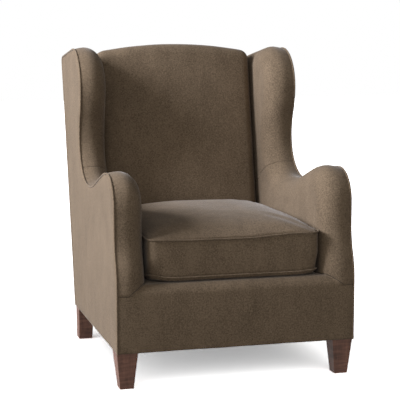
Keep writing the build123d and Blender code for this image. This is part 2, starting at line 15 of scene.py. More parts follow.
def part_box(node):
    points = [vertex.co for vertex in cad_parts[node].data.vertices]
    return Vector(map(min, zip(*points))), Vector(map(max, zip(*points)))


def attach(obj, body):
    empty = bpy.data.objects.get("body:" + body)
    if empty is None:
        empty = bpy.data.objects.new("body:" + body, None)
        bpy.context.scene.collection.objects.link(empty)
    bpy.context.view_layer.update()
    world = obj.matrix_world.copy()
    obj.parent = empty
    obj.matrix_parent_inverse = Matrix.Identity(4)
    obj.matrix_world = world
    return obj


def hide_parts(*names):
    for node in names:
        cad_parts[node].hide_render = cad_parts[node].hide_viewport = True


# outline of the chair side, repeated from the part
base_depth = 0.720
back_rake = 14.45
arm_base_z = 0.289
arm_swell_rise = 0.011
arm_waist_rise = 0.180
arm_recess = 0.033
arm_front_rise = 0.068
hump_radius = 0.098
arm_crown_radius = 0.260
arm_slope = 19.0
dip_radius = 0.260
arm_drop = 0.073
dip_flat = 0.034
wing_sweep_radius = 0.140
wing_lean = 11.24
wing_top_radius = 0.133
wing_top_slope = 8.3
back_corner_radius = 0.018
inner_round = 0.062
wing_seam_angle = 48.0
wing_seam_fall = 29.0
welt_radius = 0.003
cushion_welt_radius = 0.0025

# inside back, repeated from the part
back_depth = 0.140
inside_rake = 11.7
crest_radius = 1.5
back_crown = 0.010
back_edge_radius = 0.034
back_top_radius = 0.028

# arm and wing padding
pad_crown = 0.0065
pad_crown_at = 0.044
pad_crown_inside = 0.0015
pad_rim = 0.0003
strip_rows = 8
round_rows = 18
face_crown = 0.002
face_crown_reach = 0.060
rear_seat = 0.0022
rear_counts = (14, 8, 14)
wing_rear_drop = 0.13
tuck_depth = 0.008
tuck_reach = 0.016
tuck_full = 0.004
tuck_fade = (0.03, 0.075)
tuck_strip = 0.04
cloth_spacing = 0.0055
face_spacing = 0.009
edge_spacing = 0.002
merge_gap = 1e-6
fill_gap = 1e-7
least_rise = 1e-12
ring_clear = 0.97
lattice_clear = 0.55
flat_cosine = 0.9999
ripple = 0.0006

# seams
seam_depth = 0.0022
seam_reach = 0.010
# radius of the dark tube that paints the shade in the crease between arm and border
crease_shade_radius = 0.0011
seam_sink = 0.4
seam_even_count = 7
seam_probe = 0.04
seam_probe_length = 0.06
crease_counts = (20, 60)
wing_seam_depth = 0.0009
wing_seam_reach = 0.007
wing_seam_cuts = (0.001, 0.0025, 0.0045, 0.007)
wing_cut_reach = 0.04
base_seam_depth = 0.003
base_seam_reach = 0.012
base_seam_run = 0.12
base_seam_cuts = (0.0015, 0.0035, 0.007, 0.012)
cross_z = 0.6175
cross_run = 0.11
cross_x = 0.30
cross_depth = 0.0007
cross_reach = 0.004
cross_cuts = (-0.004, -0.002, 0, 0.002, 0.004)
arm_cut_reach = 0.03

# side and rear panels, under cover
panel_crown = 0.0035
panel_reach = 0.014
panel_rim = 0.0028
panel_spacings = (0.006, 0.010)
panel_rings = (0.002, 0.005, 0.010, 0.017)
panel_thickness = 0.002
rear_panel_crown = 0.004
rear_panel_rim = 0.0025
piping_foot = 0.0005
piping_tail = 0.02
piping_sides = 12
piping_wobble = 0.05
piping_wobble_scale = 0.02
cover_spacings = (0.012, 0.018)
cover_rings = (0.006,)
cover_thickness = 0.0006
cover_lift = 0.0004
cover_sag = 0.004
cover_wave = 0.001
cover_reach = 0.07
staple_inset = 0.009
staple_step = 4
staple_skew = 0.25
staple_half = (0.005, 0.0005, 0.0004)
staple_drop = 0.0007
staple_noise = (4.2, 40)
inward_probe = 0.004

# seat back, front border and deck
back_side_fill = 0.0035
back_fill_depths = (0.03, 0.07)
back_bulge = 0.006
back_bulge_height = 0.74
back_bulge_power = 0.8
back_low = 0.004
back_least_corner = 0.0015
back_corner_room = 0.001
back_rear_gap = 0.004
back_row_counts = (70, 9, 15)
back_section_counts = (8, 8, 90)
border_crown = 0.004
border_crown_power = 0.7
border_crown_reach = 0.012
border_edge_radius = 0.030
border_foot_radius = 0.006
border_foot_lift = 0.0006
border_turn_under = (0.034, 0.020, 0.012)
border_counts = (6, 41, 12, 5, 190)
deck_spacings = (0.010, 0.014)
deck_rings = (0.004, 0.010)
deck_drop = 0.0005
deck_rim = 0.004
deck_rim_reach = 0.008
deck_foot = 0.001

# seat cushion
ring_count = 280
seam_count = 620
cushion_voxel = 0.0065
cushion_pressure = 4.0
cushion_frames = 20
cushion_cap = 0.008
cushion_relaxing = 10
cushion_corner = 0.025
cushion_corner_steps = 12
cushion_least_corner = 0.006
cushion_draw = 0.004
cushion_draw_from = 0.9
cushion_draw_run = 0.06
cushion_slack = 0.007
cushion_crown = 0.058
cushion_crown_run = 0.25
cushion_crown_turn = 0.7
cushion_crown_power = 2.6
cushion_right_share = 0.5
cushion_corner_draw = 0.012
cushion_corner_lift = 0.008
cushion_corner_reach = 0.045
cushion_corner_height = 0.06
cushion_side_room = 0.0045
cushion_side_rows = 12
cushion_side_bulge = 0.001
cushion_full = 0.985
cushion_under_rows = (1, 0.6, 0.25)
cushion_foot_rows = ((0.017, 0.0), (0.009, 0.0012), (0.0035, 0.0045), (0.0008, 0.009))
cushion_top_rows = (
    0.006, 0.015, 0.027, 0.04, 0.06, 0.085, 0.115, 0.15, 0.2, 0.26, 0.33, 0.41, 0.5, 0.6, 0.7, 0.8, 0.9, 1,
)
cushion_piping_out = 0.0022
cushion_smooth_angle = 60
deck_touch = 0.002
held_share = 0.9
relax_reach = (0.012, 0.035)
pucker_depth = 0.0008
pucker_reach = 0.018
pucker_stretch = (1, 1, 0.25)
seam_sag_rear = 0.4
seam_sag_run = (-0.1, 0.3)
seam_sag = ((-0.27, 0.003), (-0.15, -0.002), (0.05, -0.0035), (0.18, 0.005), (0.27, 0.006))

# zip: half sizes are along it, up the tape and out from the cushion
zip_width = 0.026
zip_seat_gap = 0.0002
zip_sink = 0.0004
zip_flat_ends = (0.004, 0.012)
zip_flat_edges = (0.003, 0.010)
zip_flat_depth = 0.012
tape_half = 0.0004
tape_gap = 0.0004
stitch_pitch = 0.0042
stitch_inset = 0.0028
stitch_height = 0.0009
stitch_half = (0.0014, 0.00028, 0.00022)
tooth_pitch = 0.0026
tooth_rise = 0.0011
tooth_height = 0.0016
tooth_half = (0.00062, 0.0013, 0.0008)
teeth_margin = 0.006
stop_margin = 0.0025
stop_height = 0.0018
stop_half = (0.0018, 0.0025, 0.0012)
bridge_post_half = (0.0008, 0.0014, 0.0004)
flange_rise = 0.0036
pull_half = (0.0085, 0.0026)
pull_power = 0.6
pull_hole_at = 0.0052
pull_hole_half = (0.0016, 0.0013)
pull_heights = (0.0043, 0.0050)
pull_count = 24

# camera and light
camera_place = (-1.1451, -4.1996, 1.1047)
camera_tilt = 90 - 7.81
camera_turn = -15.36
camera_lens = 116.85
fill_around = 0.09
fill_front = 0.92
fill_aim = (-0.42, -0.91, 0.0)
floor_half = 14
floor_colour = 0.9
floor_gain = 5.6
floor_glow_strength = 0.2
floor_mirrored_strength = 0.7
key_place = (-3.6, -0.3, 2.35)
key_target = (0, 0, 0.55)
key_size = 1.6
key_power = 325
key_colour = (0.95, 1.0, 1.12)

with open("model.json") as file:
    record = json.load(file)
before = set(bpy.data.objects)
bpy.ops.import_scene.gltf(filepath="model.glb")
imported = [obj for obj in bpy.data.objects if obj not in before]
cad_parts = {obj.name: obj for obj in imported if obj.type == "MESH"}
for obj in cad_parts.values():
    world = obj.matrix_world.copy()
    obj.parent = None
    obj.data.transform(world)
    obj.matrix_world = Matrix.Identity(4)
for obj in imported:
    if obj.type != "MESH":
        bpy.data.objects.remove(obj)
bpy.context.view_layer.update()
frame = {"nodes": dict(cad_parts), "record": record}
nodes = frame["nodes"]
scene = bpy.context.scene

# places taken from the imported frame
edge_low, edge_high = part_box("inside_arm_cover_right")
inner_x = edge_low.x
edge_x = edge_high.x
front_y = edge_low.y
arm_top = edge_high.z
wing_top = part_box("inside_wing_cover_right")[1].z
crest_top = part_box("inside_back_cover")[1].z
back_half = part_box("inside_back_cover")[1].x
base_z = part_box("front_border_cover")[0].z
deck_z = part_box("deck_cover")[1].z
border_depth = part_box("front_border_cover")[1].y - front_y
half_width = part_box("side_welt_right")[1].x
cushion_low, cushion_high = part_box("cushion_boxing")
seam_low = cushion_low.z
seam_high = cushion_high.z
cushion_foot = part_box("cushion_bottom_panel")[0].z
zip_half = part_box("zipper_chain")[1].x
zip_z = (seam_low + seam_high) / 2

rake = math.radians(back_rake)
inside_lean = math.radians(inside_rake)
rear_lean = math.tan(rake)
rear_foot_y = front_y + base_depth
deck_back = rear_foot_y + (deck_z - base_z) * rear_lean - back_depth
slope = math.radians(arm_slope)
arm_arcs = arm_crown_radius + dip_radius
slope_run = (arm_drop - arm_arcs * (1 - math.cos(slope))) / math.sin(slope)
side_sign = {"left": -1, "right": 1}
axis_x = Vector((1, 0, 0))
axis_y = Vector((0, 1, 0))
axis_z = Vector((0, 0, 1))


def heading_vector(angle):
    """Unit direction in the side view, (y, z), at an angle in degrees from the rear."""
    return np.array([math.cos(math.radians(angle)), math.sin(math.radians(angle))])


def left_vector(angle):
    """Direction square to the left of a heading."""
    return np.array([-math.sin(math.radians(angle)), math.cos(math.radians(angle))])


def smooth_step(values, low, high):
    """Eased rise from 0 at low to 1 at high."""
    t = np.clip((np.asarray(values, dtype=float) - low) / (high - low), 0, 1)
    return t * t * (3 - 2 * t)


def swing(rise, shift):
    """Turn in degrees and radius of an S curve of two equal arcs."""
    turn = 2 * math.degrees(math.atan2(shift, rise))
    return turn, rise / 2 / math.sin(math.radians(turn))


def quarter_turn(count, first=0):
    """Angles of a quarter turn in even steps."""
    return [math.pi / 2 * k / count for k in range(first, count + 1)]


def run_step(start, heading, length, turn, radius, line_count, arc_count):
    """Points and headings along a straight run and the arc after it, without the start."""
    points = []
    headings = []
    for k in range(1, line_count + 1):
        points.append(start + heading_vector(heading) * length * k / line_count)
        headings.append(heading)
    corner = start + heading_vector(heading) * length
    side = 1 if turn > 0 else -1
    centre = corner + left_vector(heading) * radius * side
    for k in range(1, arc_count + 1):
        angle = heading + turn * k / arc_count
        points.append(centre - left_vector(angle) * radius * side)
        headings.append(angle)
    return points, headings


def side_path(low):
    """Points and headings of the side outline from a height at the front to the end of the wing's top arc."""
    front_turn, front_radius = swing(arm_waist_rise, arm_recess)
    wing_rise = wing_top - wing_top_radius - (arm_top - arm_drop) - wing_sweep_radius
    wing_turn, wing_radius = swing(wing_rise, wing_rise * math.tan(math.radians(wing_lean)))
    steps = [
        (arm_base_z + arm_swell_rise - low, -front_turn, front_radius),
        (0, front_turn, front_radius),
        (arm_front_rise, -90, hump_radius),
        (0, -arm_slope, arm_crown_radius),
        (slope_run, arm_slope, dip_radius),
        (dip_flat, 90, wing_sweep_radius),
        (0, wing_turn, wing_radius),
        (0, -wing_turn, wing_radius),
        (0, -90 - wing_top_slope, wing_top_radius),
    ]
    points = [np.array([front_y, low])]
    headings = [90.0]
    for length, turn, radius in steps:
        line_count = math.ceil(length / cloth_spacing)
        arc_count = math.ceil(abs(math.radians(turn)) * radius / cloth_spacing)
        more, turned = run_step(points[-1], headings[-1], length, turn, radius, line_count, arc_count)
        points += more
        headings += turned
    return np.array(points), np.array(headings)


def rear_run(start, heading, rear_inset, radius, tail):
    """Points and headings on from the wing's top, round the rear corner and some way down the raked back."""
    line_count, arc_count, tail_count = rear_counts
    down = -90 - back_rake
    ahead = heading_vector(heading)
    gap = np.array([rear_foot_y - rear_inset / math.cos(rake), base_z]) - start
    across = np.array([-heading_vector(down)[1], heading_vector(down)[0]])
    reach = gap.dot(across) / ahead.dot(across)
    turn = down - heading
    leg = radius * math.tan(math.radians(abs(turn)) / 2)
    points, headings = run_step(start, heading, reach - leg, turn, radius, line_count, arc_count)
    end, more = run_step(points[-1], down, tail, 1, 1, tail_count, 0)
    return points + end, headings + more


def outer_path(low):
    """The whole side outline down to a height at the foot of the back."""
    points, headings = side_path(low)
    more, turned = rear_run(points[-1], headings[-1], 0, back_corner_radius, piping_tail)
    drop = (more[-1][1] - low) / math.cos(rake)
    end, _ = run_step(more[-1], turned[-1], drop, 1, 1, math.ceil(drop / cloth_spacing), 0)
    return np.array(list(points) + more + end)


def placed(name, data):
    """A new object in the scene."""
    obj = bpy.data.objects.new(name, data)
    scene.collection.objects.link(obj)
    return obj


def soften(obj, smooth_angle=40):
    """Smooth shading with sharp edges where faces meet at more than an angle."""
    mesh = obj.data
    mesh.polygons.foreach_set("use_smooth", [True] * len(mesh.polygons))
    mesh.set_sharp_from_angle(angle=math.radians(smooth_angle))
    mesh.update()


def add_object(name, points, faces, material):
    """A mesh object from points and faces, smooth but for its sharp edges."""
    mesh = bpy.data.meshes.new(name)
    mesh.from_pydata([tuple(p) for p in points], [], faces)
    mesh.materials.append(material)
    obj = placed(name, mesh)
    soften(obj)
    return obj


def dress(obj, body, slot, *replaced):
    """Hides the CAD nodes that a piece replaces and hangs the piece on the body it rides; the material slot
    is not used.
    """
    if replaced:
        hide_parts(*replaced)
    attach(obj, body)


@contextmanager
def mesh_edit(obj):
    """The mesh of an object, open for changes."""
    bm = bmesh.new()
    bm.from_mesh(obj.data)
    yield bm
    bm.to_mesh(obj.data)
    bm.free()


def grid_faces(rows, columns, ring=False, wrap=False):
    """Faces of a grid of points laid row by row, closed along each row or last to first."""
    faces = []
    count = rows * columns
    for r in range(rows if wrap else rows - 1):
        for c in range(columns if ring else columns - 1):
            a = r * columns + c
            b = r * columns + (c + 1) % columns
            faces.append((a, b, (b + columns) % count, (a + columns) % count))
    return faces


def closed_mesh(obj):
    """Fills the open rims of a shell and turns all its faces outward."""
    with mesh_edit(obj) as bm:
        bmesh.ops.remove_doubles(bm, verts=bm.verts, dist=merge_gap)
        bmesh.ops.holes_fill(bm, edges=[e for e in bm.edges if e.is_boundary], sides=0)
        bmesh.ops.triangulate(bm, faces=[f for f in bm.faces if len(f.verts) > 4])
        bmesh.ops.recalc_face_normals(bm, faces=bm.faces)
    soften(obj)


def inside(points, loop):
    """Which flat points lie inside a closed loop."""
    x = points[:, 0][:, None]
    y = points[:, 1][:, None]
    ends = np.roll(loop, -1, axis=0)
    crosses = (loop[:, 1] > y) != (ends[:, 1] > y)
    rise = ends[:, 1] - loop[:, 1]
    rise = np.where(np.abs(rise) < least_rise, least_rise, rise)
    at = loop[:, 0] + (y - loop[:, 1]) * (ends[:, 0] - loop[:, 0]) / rise
    return (np.sum(crosses & (x < at), axis=1) % 2) == 1


def ring_heading(path):
    """Unit direction at each point of a closed path."""
    ahead = np.roll(path, -1, axis=0) - np.roll(path, 1, axis=0)
    return ahead / np.linalg.norm(ahead, axis=1)[:, None]


def resampled(loop, spacing):
    """A closed loop with its long edges cut to a spacing."""
    points = []
    for a, b in zip(loop, np.roll(loop, -1, axis=0)):
        count = max(1, math.ceil(np.linalg.norm(b - a) / spacing))
        points += [a + (b - a) * k / count for k in range(count)]
    return np.array(points)


def point_tree(points):
    """Nearest-point search over some places."""
    tree = kdtree.KDTree(len(points))
    for k, p in enumerate(points):
        tree.insert(p, k)
    tree.balance()
    return tree


def distances(points, tree):
    """Distance of each point from the nearest place of a search."""
    return np.array([tree.find(p)[2] for p in points])


def edge_distance(points, loops):
    """Distance of flat points from the nearest of some closed loops."""
    samples = np.concatenate([resampled(loop, edge_spacing) for loop in loops])
    level = ((0, 0), (0, 1))
    return distances(np.pad(points, level), point_tree(np.pad(samples, level)))


def filled(loops, spacing, rings=()):
    """Flat points and triangles that fill an outer loop less its holes, with rows of points near the rim."""

    def covered(points):
        return inside(points, loops[0]) & ~np.any([inside(points, hole) for hole in loops[1:]], axis=0)

    edges = []
    for loop in loops:
        start = len(edges)
        edges += [(start + k, start + (k + 1) % len(loop)) for k in range(len(loop))]
    extra = []
    for inset in rings:
        for loop in loops:
            ahead = ring_heading(loop)
            for sign in (1, -1):
                moved = loop + sign * inset * np.stack([-ahead[:, 1], ahead[:, 0]], axis=1)
                extra += list(moved[edge_distance(moved, loops) > inset * ring_clear])
    rim = np.concatenate(loops)
    low = rim.min(axis=0)
    size = rim.max(axis=0) - low
    row_height = spacing * math.sqrt(3) / 2
    lattice = np.array([
        (low[0] + (c - 0.5 * (r % 2)) * spacing, low[1] + r * row_height)
        for r in range(math.ceil(size[1] / row_height) + 1)
        for c in range(math.ceil(size[0] / spacing) + 2)
    ])
    lattice = lattice[edge_distance(lattice, loops) > max(rings, default=0) + spacing * lattice_clear]
    more = np.array(extra + list(lattice)).reshape(-1, 2)
    points = np.concatenate([rim, more[covered(more)]])
    mesh = geometry.delaunay_2d_cdt([Vector(p) for p in points], edges, [], 0, fill_gap)
    flat = np.array([tuple(p) for p in mesh[0]])
    triangles = np.array(mesh[2])
    kept = [tuple(int(i) for i in t) for t in triangles[covered(flat[triangles].mean(axis=1))]]
    # slivers outside the rim have a side of their own that is no rim edge
    rim_sides = {frozenset(e) for e in edges}
    sides = [[frozenset(pair) for pair in zip(t, t[1:] + t[:1])] for t in kept]
    uses = Counter(side for three in sides for side in three)
    return flat, [t for t, three in zip(kept, sides) if all(uses[s] > 1 or s in rim_sides for s in three)]


def flat_loops(node, axes, spacing):
    """Rim loops of a flat CAD face, the largest first; axes are its direction and two in its plane."""
    direction, across, up = axes
    bm = bmesh.new()
    bm.from_mesh(nodes[node].data)
    bmesh.ops.remove_doubles(bm, verts=bm.verts, dist=merge_gap)
    bm.normal_update()
    facing = {f for f in bm.faces if f.normal.dot(direction) > flat_cosine}
    onward = {}
    for face in facing:
        for corner in face.loops:
            if sum(other in facing for other in corner.edge.link_faces) == 1:
                onward[corner.vert.index] = corner.link_loop_next.vert.index
    bm.verts.ensure_lookup_table()
    loops = []
    while onward:
        at = min(onward)
        loop = []
        while at in onward:
            place = bm.verts[at].co
            loop.append((place.dot(across), place.dot(up)))
            at = onward.pop(at)
        loops.append(resampled(np.array(loop), spacing))
    bm.free()
    return sorted(loops, key=lambda loop: -np.ptp(loop, axis=0).prod())


def unevenness(points, scale, seed):
    """Soft random swell between about -1 and 1 at each point."""
    offset = Vector((seed * 7.3, seed * 3.1, seed * 5.7))
    return np.array([noise.noise(Vector(p) / scale + offset) for p in points])


def vertex_places(obj):
    """Vertex positions of a mesh as an array."""
    return np.array([v.co for v in obj.data.vertices])


def set_places(obj, places):
    """Moves the vertices of a mesh to new positions."""
    obj.data.vertices.foreach_set("co", places.ravel())
    obj.data.update()


def move_along_normals(obj, amounts):
    """Moves each vertex along its own normal."""
    normals = np.array([v.normal for v in obj.data.vertices])
    set_places(obj, vertex_places(obj) + normals * np.asarray(amounts)[:, None])


def seam_press(obj, away, depth, reach):
    """Draws the cloth in along a seam, by each vertex's distance from it."""
    share = np.clip(1 - np.abs(away) / reach, 0, 1)
    move_along_normals(obj, -depth * share ** 2)


def tube(name, path, radius, material, ring=False):
    """Round piping along a path."""
    path = np.asarray(path, dtype=float)
    if ring:
        ahead = ring_heading(path)
    else:
        ahead = np.gradient(path, axis=0)
        ahead /= np.linalg.norm(ahead, axis=1)[:, None]
    spare = np.array([1.0, 0, 0]) if abs(ahead[0][0]) < 0.9 else np.array([0, 0, 1.0])
    points = []
    for place, along in zip(path, ahead):
        spare = spare - along * spare.dot(along)
        spare /= np.linalg.norm(spare)
        other = np.cross(along, spare)
        thick = radius * (1 + piping_wobble * noise.noise(Vector(place) / piping_wobble_scale))
        for s in range(piping_sides):
            angle = 2 * math.pi * s / piping_sides
            points.append(place + thick * (spare * math.cos(angle) + other * math.sin(angle)))
    faces = grid_faces(len(path), piping_sides, ring=True, wrap=ring)
    if not ring:
        faces.append(tuple(range(piping_sides)))
        faces.append(tuple(reversed(range(len(points) - piping_sides, len(points)))))
    obj = add_object(name, points, faces, material)
    closed_mesh(obj)
    return obj


def boxes_object(name, boxes, material, bevel):
    """One mesh of many small boxes, each of a centre, three half axes and the taper of its upper face."""
    sides = [(0, 1, 5, 4), (1, 2, 6, 5), (2, 3, 7, 6), (3, 0, 4, 7), (3, 2, 1, 0), (4, 5, 6, 7)]
    points = []
    faces = []
    for centre, along, across, up, taper in boxes:
        faces += [tuple(len(points) + k for k in side) for side in sides]
        for level, share in ((-1, 1.0), (1, taper)):
            for a, b in ((-1, -1), (1, -1), (1, 1), (-1, 1)):
                points.append(centre + along * a * share + across * b * share + up * level)
    obj = add_object(name, points, faces, material)
    with mesh_edit(obj) as bm:
        bmesh.ops.bevel(bm, geom=bm.edges[:], offset=bevel, segments=2, affect="EDGES", profile=0.5)
        bmesh.ops.recalc_face_normals(bm, faces=bm.faces)
    soften(obj)
    return obj


def new_material(name, colour):
    """A procedural material with its shader and a noise place to build on."""
    material = bpy.data.materials.new(name)
    material.use_nodes = True
    material.diffuse_color = (*colour, 1)
    tree = material.node_tree
    place = tree.nodes.new("ShaderNodeTexCoord")
    return material, tree, tree.nodes["Principled BSDF"], place.outputs["Object"]


def set_inputs(node, values):
    """Sets plain values on the inputs of a node."""
    for name, value in values.items():
        node.inputs[name].default_value = value


def noise_node(tree, place, scale, detail=2.0, stretch=None, distortion=0.0):
    """A noise texture at object places, stretched along the axes if asked."""
    texture = tree.nodes.new("ShaderNodeTexNoise")
    set_inputs(texture, {"Scale": scale, "Detail": detail, "Distortion": distortion})
    if stretch:
        mapping = tree.nodes.new("ShaderNodeMapping")
        mapping.inputs["Scale"].default_value = stretch
        tree.links.new(place, mapping.inputs["Vector"])
        place = mapping.outputs["Vector"]
    tree.links.new(place, texture.inputs["Vector"])
    return texture.outputs["Fac"]


def math_node(tree, kind, first, second):
    """A math node with links or plain numbers as its two inputs."""
    node = tree.nodes.new("ShaderNodeMath")
    node.operation = kind
    for socket, value in zip(node.inputs, (first, second)):
        if isinstance(value, (int, float)):
            socket.default_value = value
        else:
            tree.links.new(value, socket)
    return node.outputs[0]


def weighted(tree, *parts):
    """The sum of some factors, each times its share."""
    terms = [math_node(tree, "MULTIPLY", factor, share) for factor, share in parts]
    return reduce(lambda a, b: math_node(tree, "ADD", a, b), terms)


def scaled(colour, share):
    """A colour made darker or lighter by a share."""
    return tuple(min(1.0, c * share) for c in colour)


def surface(tree, shader, colour, tone, stops, rough, bump):
    """Gives a shader its colours by (tone, share of the colour), its range of roughness and its bump."""
    ramp = tree.nodes.new("ShaderNodeValToRGB")
    while len(ramp.color_ramp.elements) < len(stops):
        ramp.color_ramp.elements.new(0.5)
    for element, (position, share) in zip(ramp.color_ramp.elements, stops):
        element.position = position
        element.color = (*scaled(colour, share), 1)
    tree.links.new(tone, ramp.inputs["Fac"])
    tree.links.new(ramp.outputs["Color"], shader.inputs["Base Color"])
    factor, low, high = rough
    mapped = tree.nodes.new("ShaderNodeMapRange")
    set_inputs(mapped, {"From Min": 0.3, "From Max": 0.7, "To Min": low, "To Max": high})
    tree.links.new(factor, mapped.inputs["Value"])
    tree.links.new(mapped.outputs["Result"], shader.inputs["Roughness"])
    height, distance, strength = bump
    relief = tree.nodes.new("ShaderNodeBump")
    set_inputs(relief, {"Strength": strength, "Distance": distance})
    tree.links.new(height, relief.inputs["Height"])
    tree.links.new(relief.outputs["Normal"], shader.inputs["Normal"])


def pile_fabric(name, colour, sheen):
    """Short brushed pile: fine speckle, soft mottling, a pale sheen at grazing angles."""
    material, tree, shader, place = new_material(name, colour)
    speckle = noise_node(tree, place, 620)
    mottle = noise_node(tree, place, 210, 3)
    brush = noise_node(tree, place, 22, stretch=(1.0, 1.0, 0.5))
    tone = weighted(tree, (speckle, 0.45), (mottle, 0.4), (brush, 0.15))
    height = weighted(tree, (speckle, 1.0), (mottle, 1.6))
    stops = [(0.34, 0.52), (0.5, 1), (0.66, 1.5)]
    surface(tree, shader, colour, tone, stops, (mottle, 0.82, 0.98), (height, 0.0006, 0.7))
    set_inputs(shader, {
        "Specular IOR Level": 0.03, "Sheen Weight": sheen, "Sheen Roughness": 0.38,
        "Sheen Tint": (1.0, 0.95, 0.9, 1),
    })
    return material


def walnut(name, colour, gloss):
    """Stained wood with grain along the height, streaks and a satin finish."""
    material, tree, shader, place = new_material(name, colour)
    grain = noise_node(tree, place, 60, 4, stretch=(1.0, 1.0, 0.07), distortion=0.6)
    pores = noise_node(tree, place, 420, stretch=(1.0, 1.0, 0.05))
    figure = noise_node(tree, place, 34, 3, stretch=(0.5, 0.5, 4.0), distortion=0.5)
    tone = weighted(tree, (grain, 0.35), (pores, 0.2), (figure, 0.45))
    stops = [(0.36, 0.5), (0.5, 1), (0.64, 1.6)]
    surface(tree, shader, colour, tone, stops, (pores, gloss, gloss + 0.16), (pores, 0.0003, 0.5))
    set_inputs(shader, {"Specular IOR Level": 0.3})
    return material


def plain_material(name, colour, rough, metal=0.0, grain=260, bump=0.0002):
    """A plain material with uneven colour, roughness and a light bump."""
    material, tree, shader, place = new_material(name, colour)
    fine = noise_node(tree, place, grain, 3)
    broad = noise_node(tree, place, grain / 9)
    tone = weighted(tree, (fine, 0.6), (broad, 0.4))
    roughness = (broad, max(0.05, rough - 0.08), min(1.0, rough + 0.08))
    surface(tree, shader, colour, tone, [(0.32, 0.85), (0.68, 1.15)], roughness, (fine, bump, 0.6))
    set_inputs(shader, {"Metallic": metal})
    return material


def woven(name, colour, thread, rough=0.9):
    """Flat woven cloth with crossing threads."""
    material, tree, shader, place = new_material(name, colour)
    waves = []
    for axis in ("X", "Y"):
        wave = tree.nodes.new("ShaderNodeTexWave")
        wave.bands_direction = axis
        wave.inputs["Scale"].default_value = 1 / thread / 3.18
        tree.links.new(place, wave.inputs["Vector"])
        waves.append(wave.outputs["Fac"])
    weave = math_node(tree, "MULTIPLY", *waves)
    dust = noise_node(tree, place, 30, 3)
    tone = weighted(tree, (weave, 0.5), (dust, 0.5))
    roughness = (dust, rough - 0.1, min(1.0, rough + 0.05))
    surface(tree, shader, colour, tone, [(0.2, 0.7), (0.75, 1.3)], roughness, (weave, 0.0003, 0.6))
    set_inputs(shader, {"Specular IOR Level": 0.2})
    return material


fabric_colour = (0.150, 0.107, 0.069)
materials = {
    "upholstery": pile_fabric("taupe_pile_fabric", fabric_colour, 0.2),
    "piping": pile_fabric("taupe_piping", scaled(fabric_colour, 1.02), 0.22),
    "foam": plain_material("pale_foam", (0.62, 0.55, 0.36), 0.95, grain=500, bump=0.0006),
    "frame_wood": walnut("frame_beech", (0.42, 0.26, 0.13), 0.6),
    "leg_wood": walnut("leg_walnut", (0.135, 0.063, 0.042), 0.42),
    "liner_board": plain_material("grey_liner_board", (0.32, 0.27, 0.21), 0.9, grain=120),
    "felt": plain_material("grey_felt", (0.24, 0.23, 0.22), 0.97, grain=700, bump=0.0008),
    "webbing": woven("jute_webbing", (0.34, 0.25, 0.14), 0.0025),
    "cambric": woven("black_cambric", (0.022, 0.022, 0.024), 0.0012),
    "spring_steel": plain_material("spring_steel", (0.38, 0.37, 0.36), 0.38, metal=1.0),
    "plated_steel": plain_material("plated_steel", (0.56, 0.55, 0.52), 0.3, metal=1.0),
    "glide_plastic": plain_material("black_glide", (0.03, 0.03, 0.032), 0.5),
    "zip_tape": woven("taupe_zip_tape", scaled(fabric_colour, 0.8), 0.0008),
    "zip_metal": plain_material("antique_zip_metal", (0.36, 0.29, 0.19), 0.36, metal=1.0),
}
# darkened fabric colour for the tubes in the creases between arms and border: painted shade
crease_shade_material = plain_material("crease_painted_shade", scaled(fabric_colour, 0.3), 0.9)
thread_material = plain_material("taupe_thread", scaled(fabric_colour, 1.25), 0.8)
cloth = materials["upholstery"]

for entry in frame["record"]["subparts"]:
    node = nodes[entry["node"]]
    node.data.materials.clear()
    node.data.materials.append(materials[entry["material_slot"]])


def section_rows():
    """Rows across the side padding: (x, inset from the outline), from the piping over to the inner face."""
    strip = edge_x - inner_x - inner_round
    around = inner_round * math.pi / 2
    rows = []
    for k in range(strip_rows + round_rows + 1):
        angle = math.pi / 2 * max(0, k - strip_rows) / round_rows
        distance = strip * k / strip_rows
        x = edge_x - distance
        if k > strip_rows:
            distance = strip + inner_round * angle
            x = inner_x + inner_round - inner_round * math.sin(angle)
        if distance < pad_crown_at:
            crown = pad_rim + (pad_crown - pad_rim) * (1 - (1 - distance / pad_crown_at) ** 2)
        else:
            fall = float(smooth_step(distance, pad_crown_at, strip + around))
            crown = pad_crown + (pad_crown_inside - pad_crown) * fall
        inset = inner_round * (1 - math.cos(angle))
        rows.append((x - crown * math.sin(angle), inset - crown * math.cos(angle)))
    return rows


def back_front(z):
    """Where the front of the inside back stands at a height."""
    return deck_back + (z - deck_z) * math.tan(inside_lean)


def side_shell(sign):
    """Closed padded side of the chair, arm and wing in one, before it is parted at the seam."""
    main, headings = side_path(arm_base_z)
    outward = np.stack([-np.sin(np.radians(headings)), np.cos(np.radians(headings))], axis=1)
    points = []
    rows = section_rows()
    for x, inset in rows:
        row = list(main - outward * inset)
        row += rear_run(row[-1], headings[-1], rear_seat, back_corner_radius - rear_seat, wing_rear_drop)[0]
        points += [(x, y, z) for y, z in row]
    columns = len(points) // len(rows)
    faces = grid_faces(len(rows), columns)
    first = len(points) - columns
    rim = np.array(points[first:])[:, 1:]
    low_rear = np.array([rear_foot_y - rear_seat + (arm_base_z - base_z) * rear_lean, arm_base_z])
    closing = resampled(np.array([rim[-1], low_rear, rim[0]]), face_spacing)
    closing = closing[1:int(np.argmin(np.linalg.norm(closing - rim[0], axis=1)))]
    flat, triangles = filled([np.concatenate([rim, closing])], face_spacing)
    away = edge_distance(flat, [np.concatenate([rim, rim[::-1]])])
    inner_face = points[-1][0] - face_crown * (1 - np.exp(-((away / face_crown_reach) ** 2)))
    points += [(inner_face[k], *flat[k]) for k in range(columns, len(flat))]
    faces += [tuple(first + i for i in t) for t in triangles]
    points = np.array(points)
    behind = points[:, 1] - back_front(points[:, 2])
    tuck = smooth_step(behind, -tuck_reach, tuck_full) * (1 - smooth_step(behind, *tuck_fade))
    points[:, 0] += tuck_depth * tuck * (1 - smooth_step(points[:, 0], inner_x, inner_x + tuck_strip))
    points[:, 0] *= sign
    return points, faces


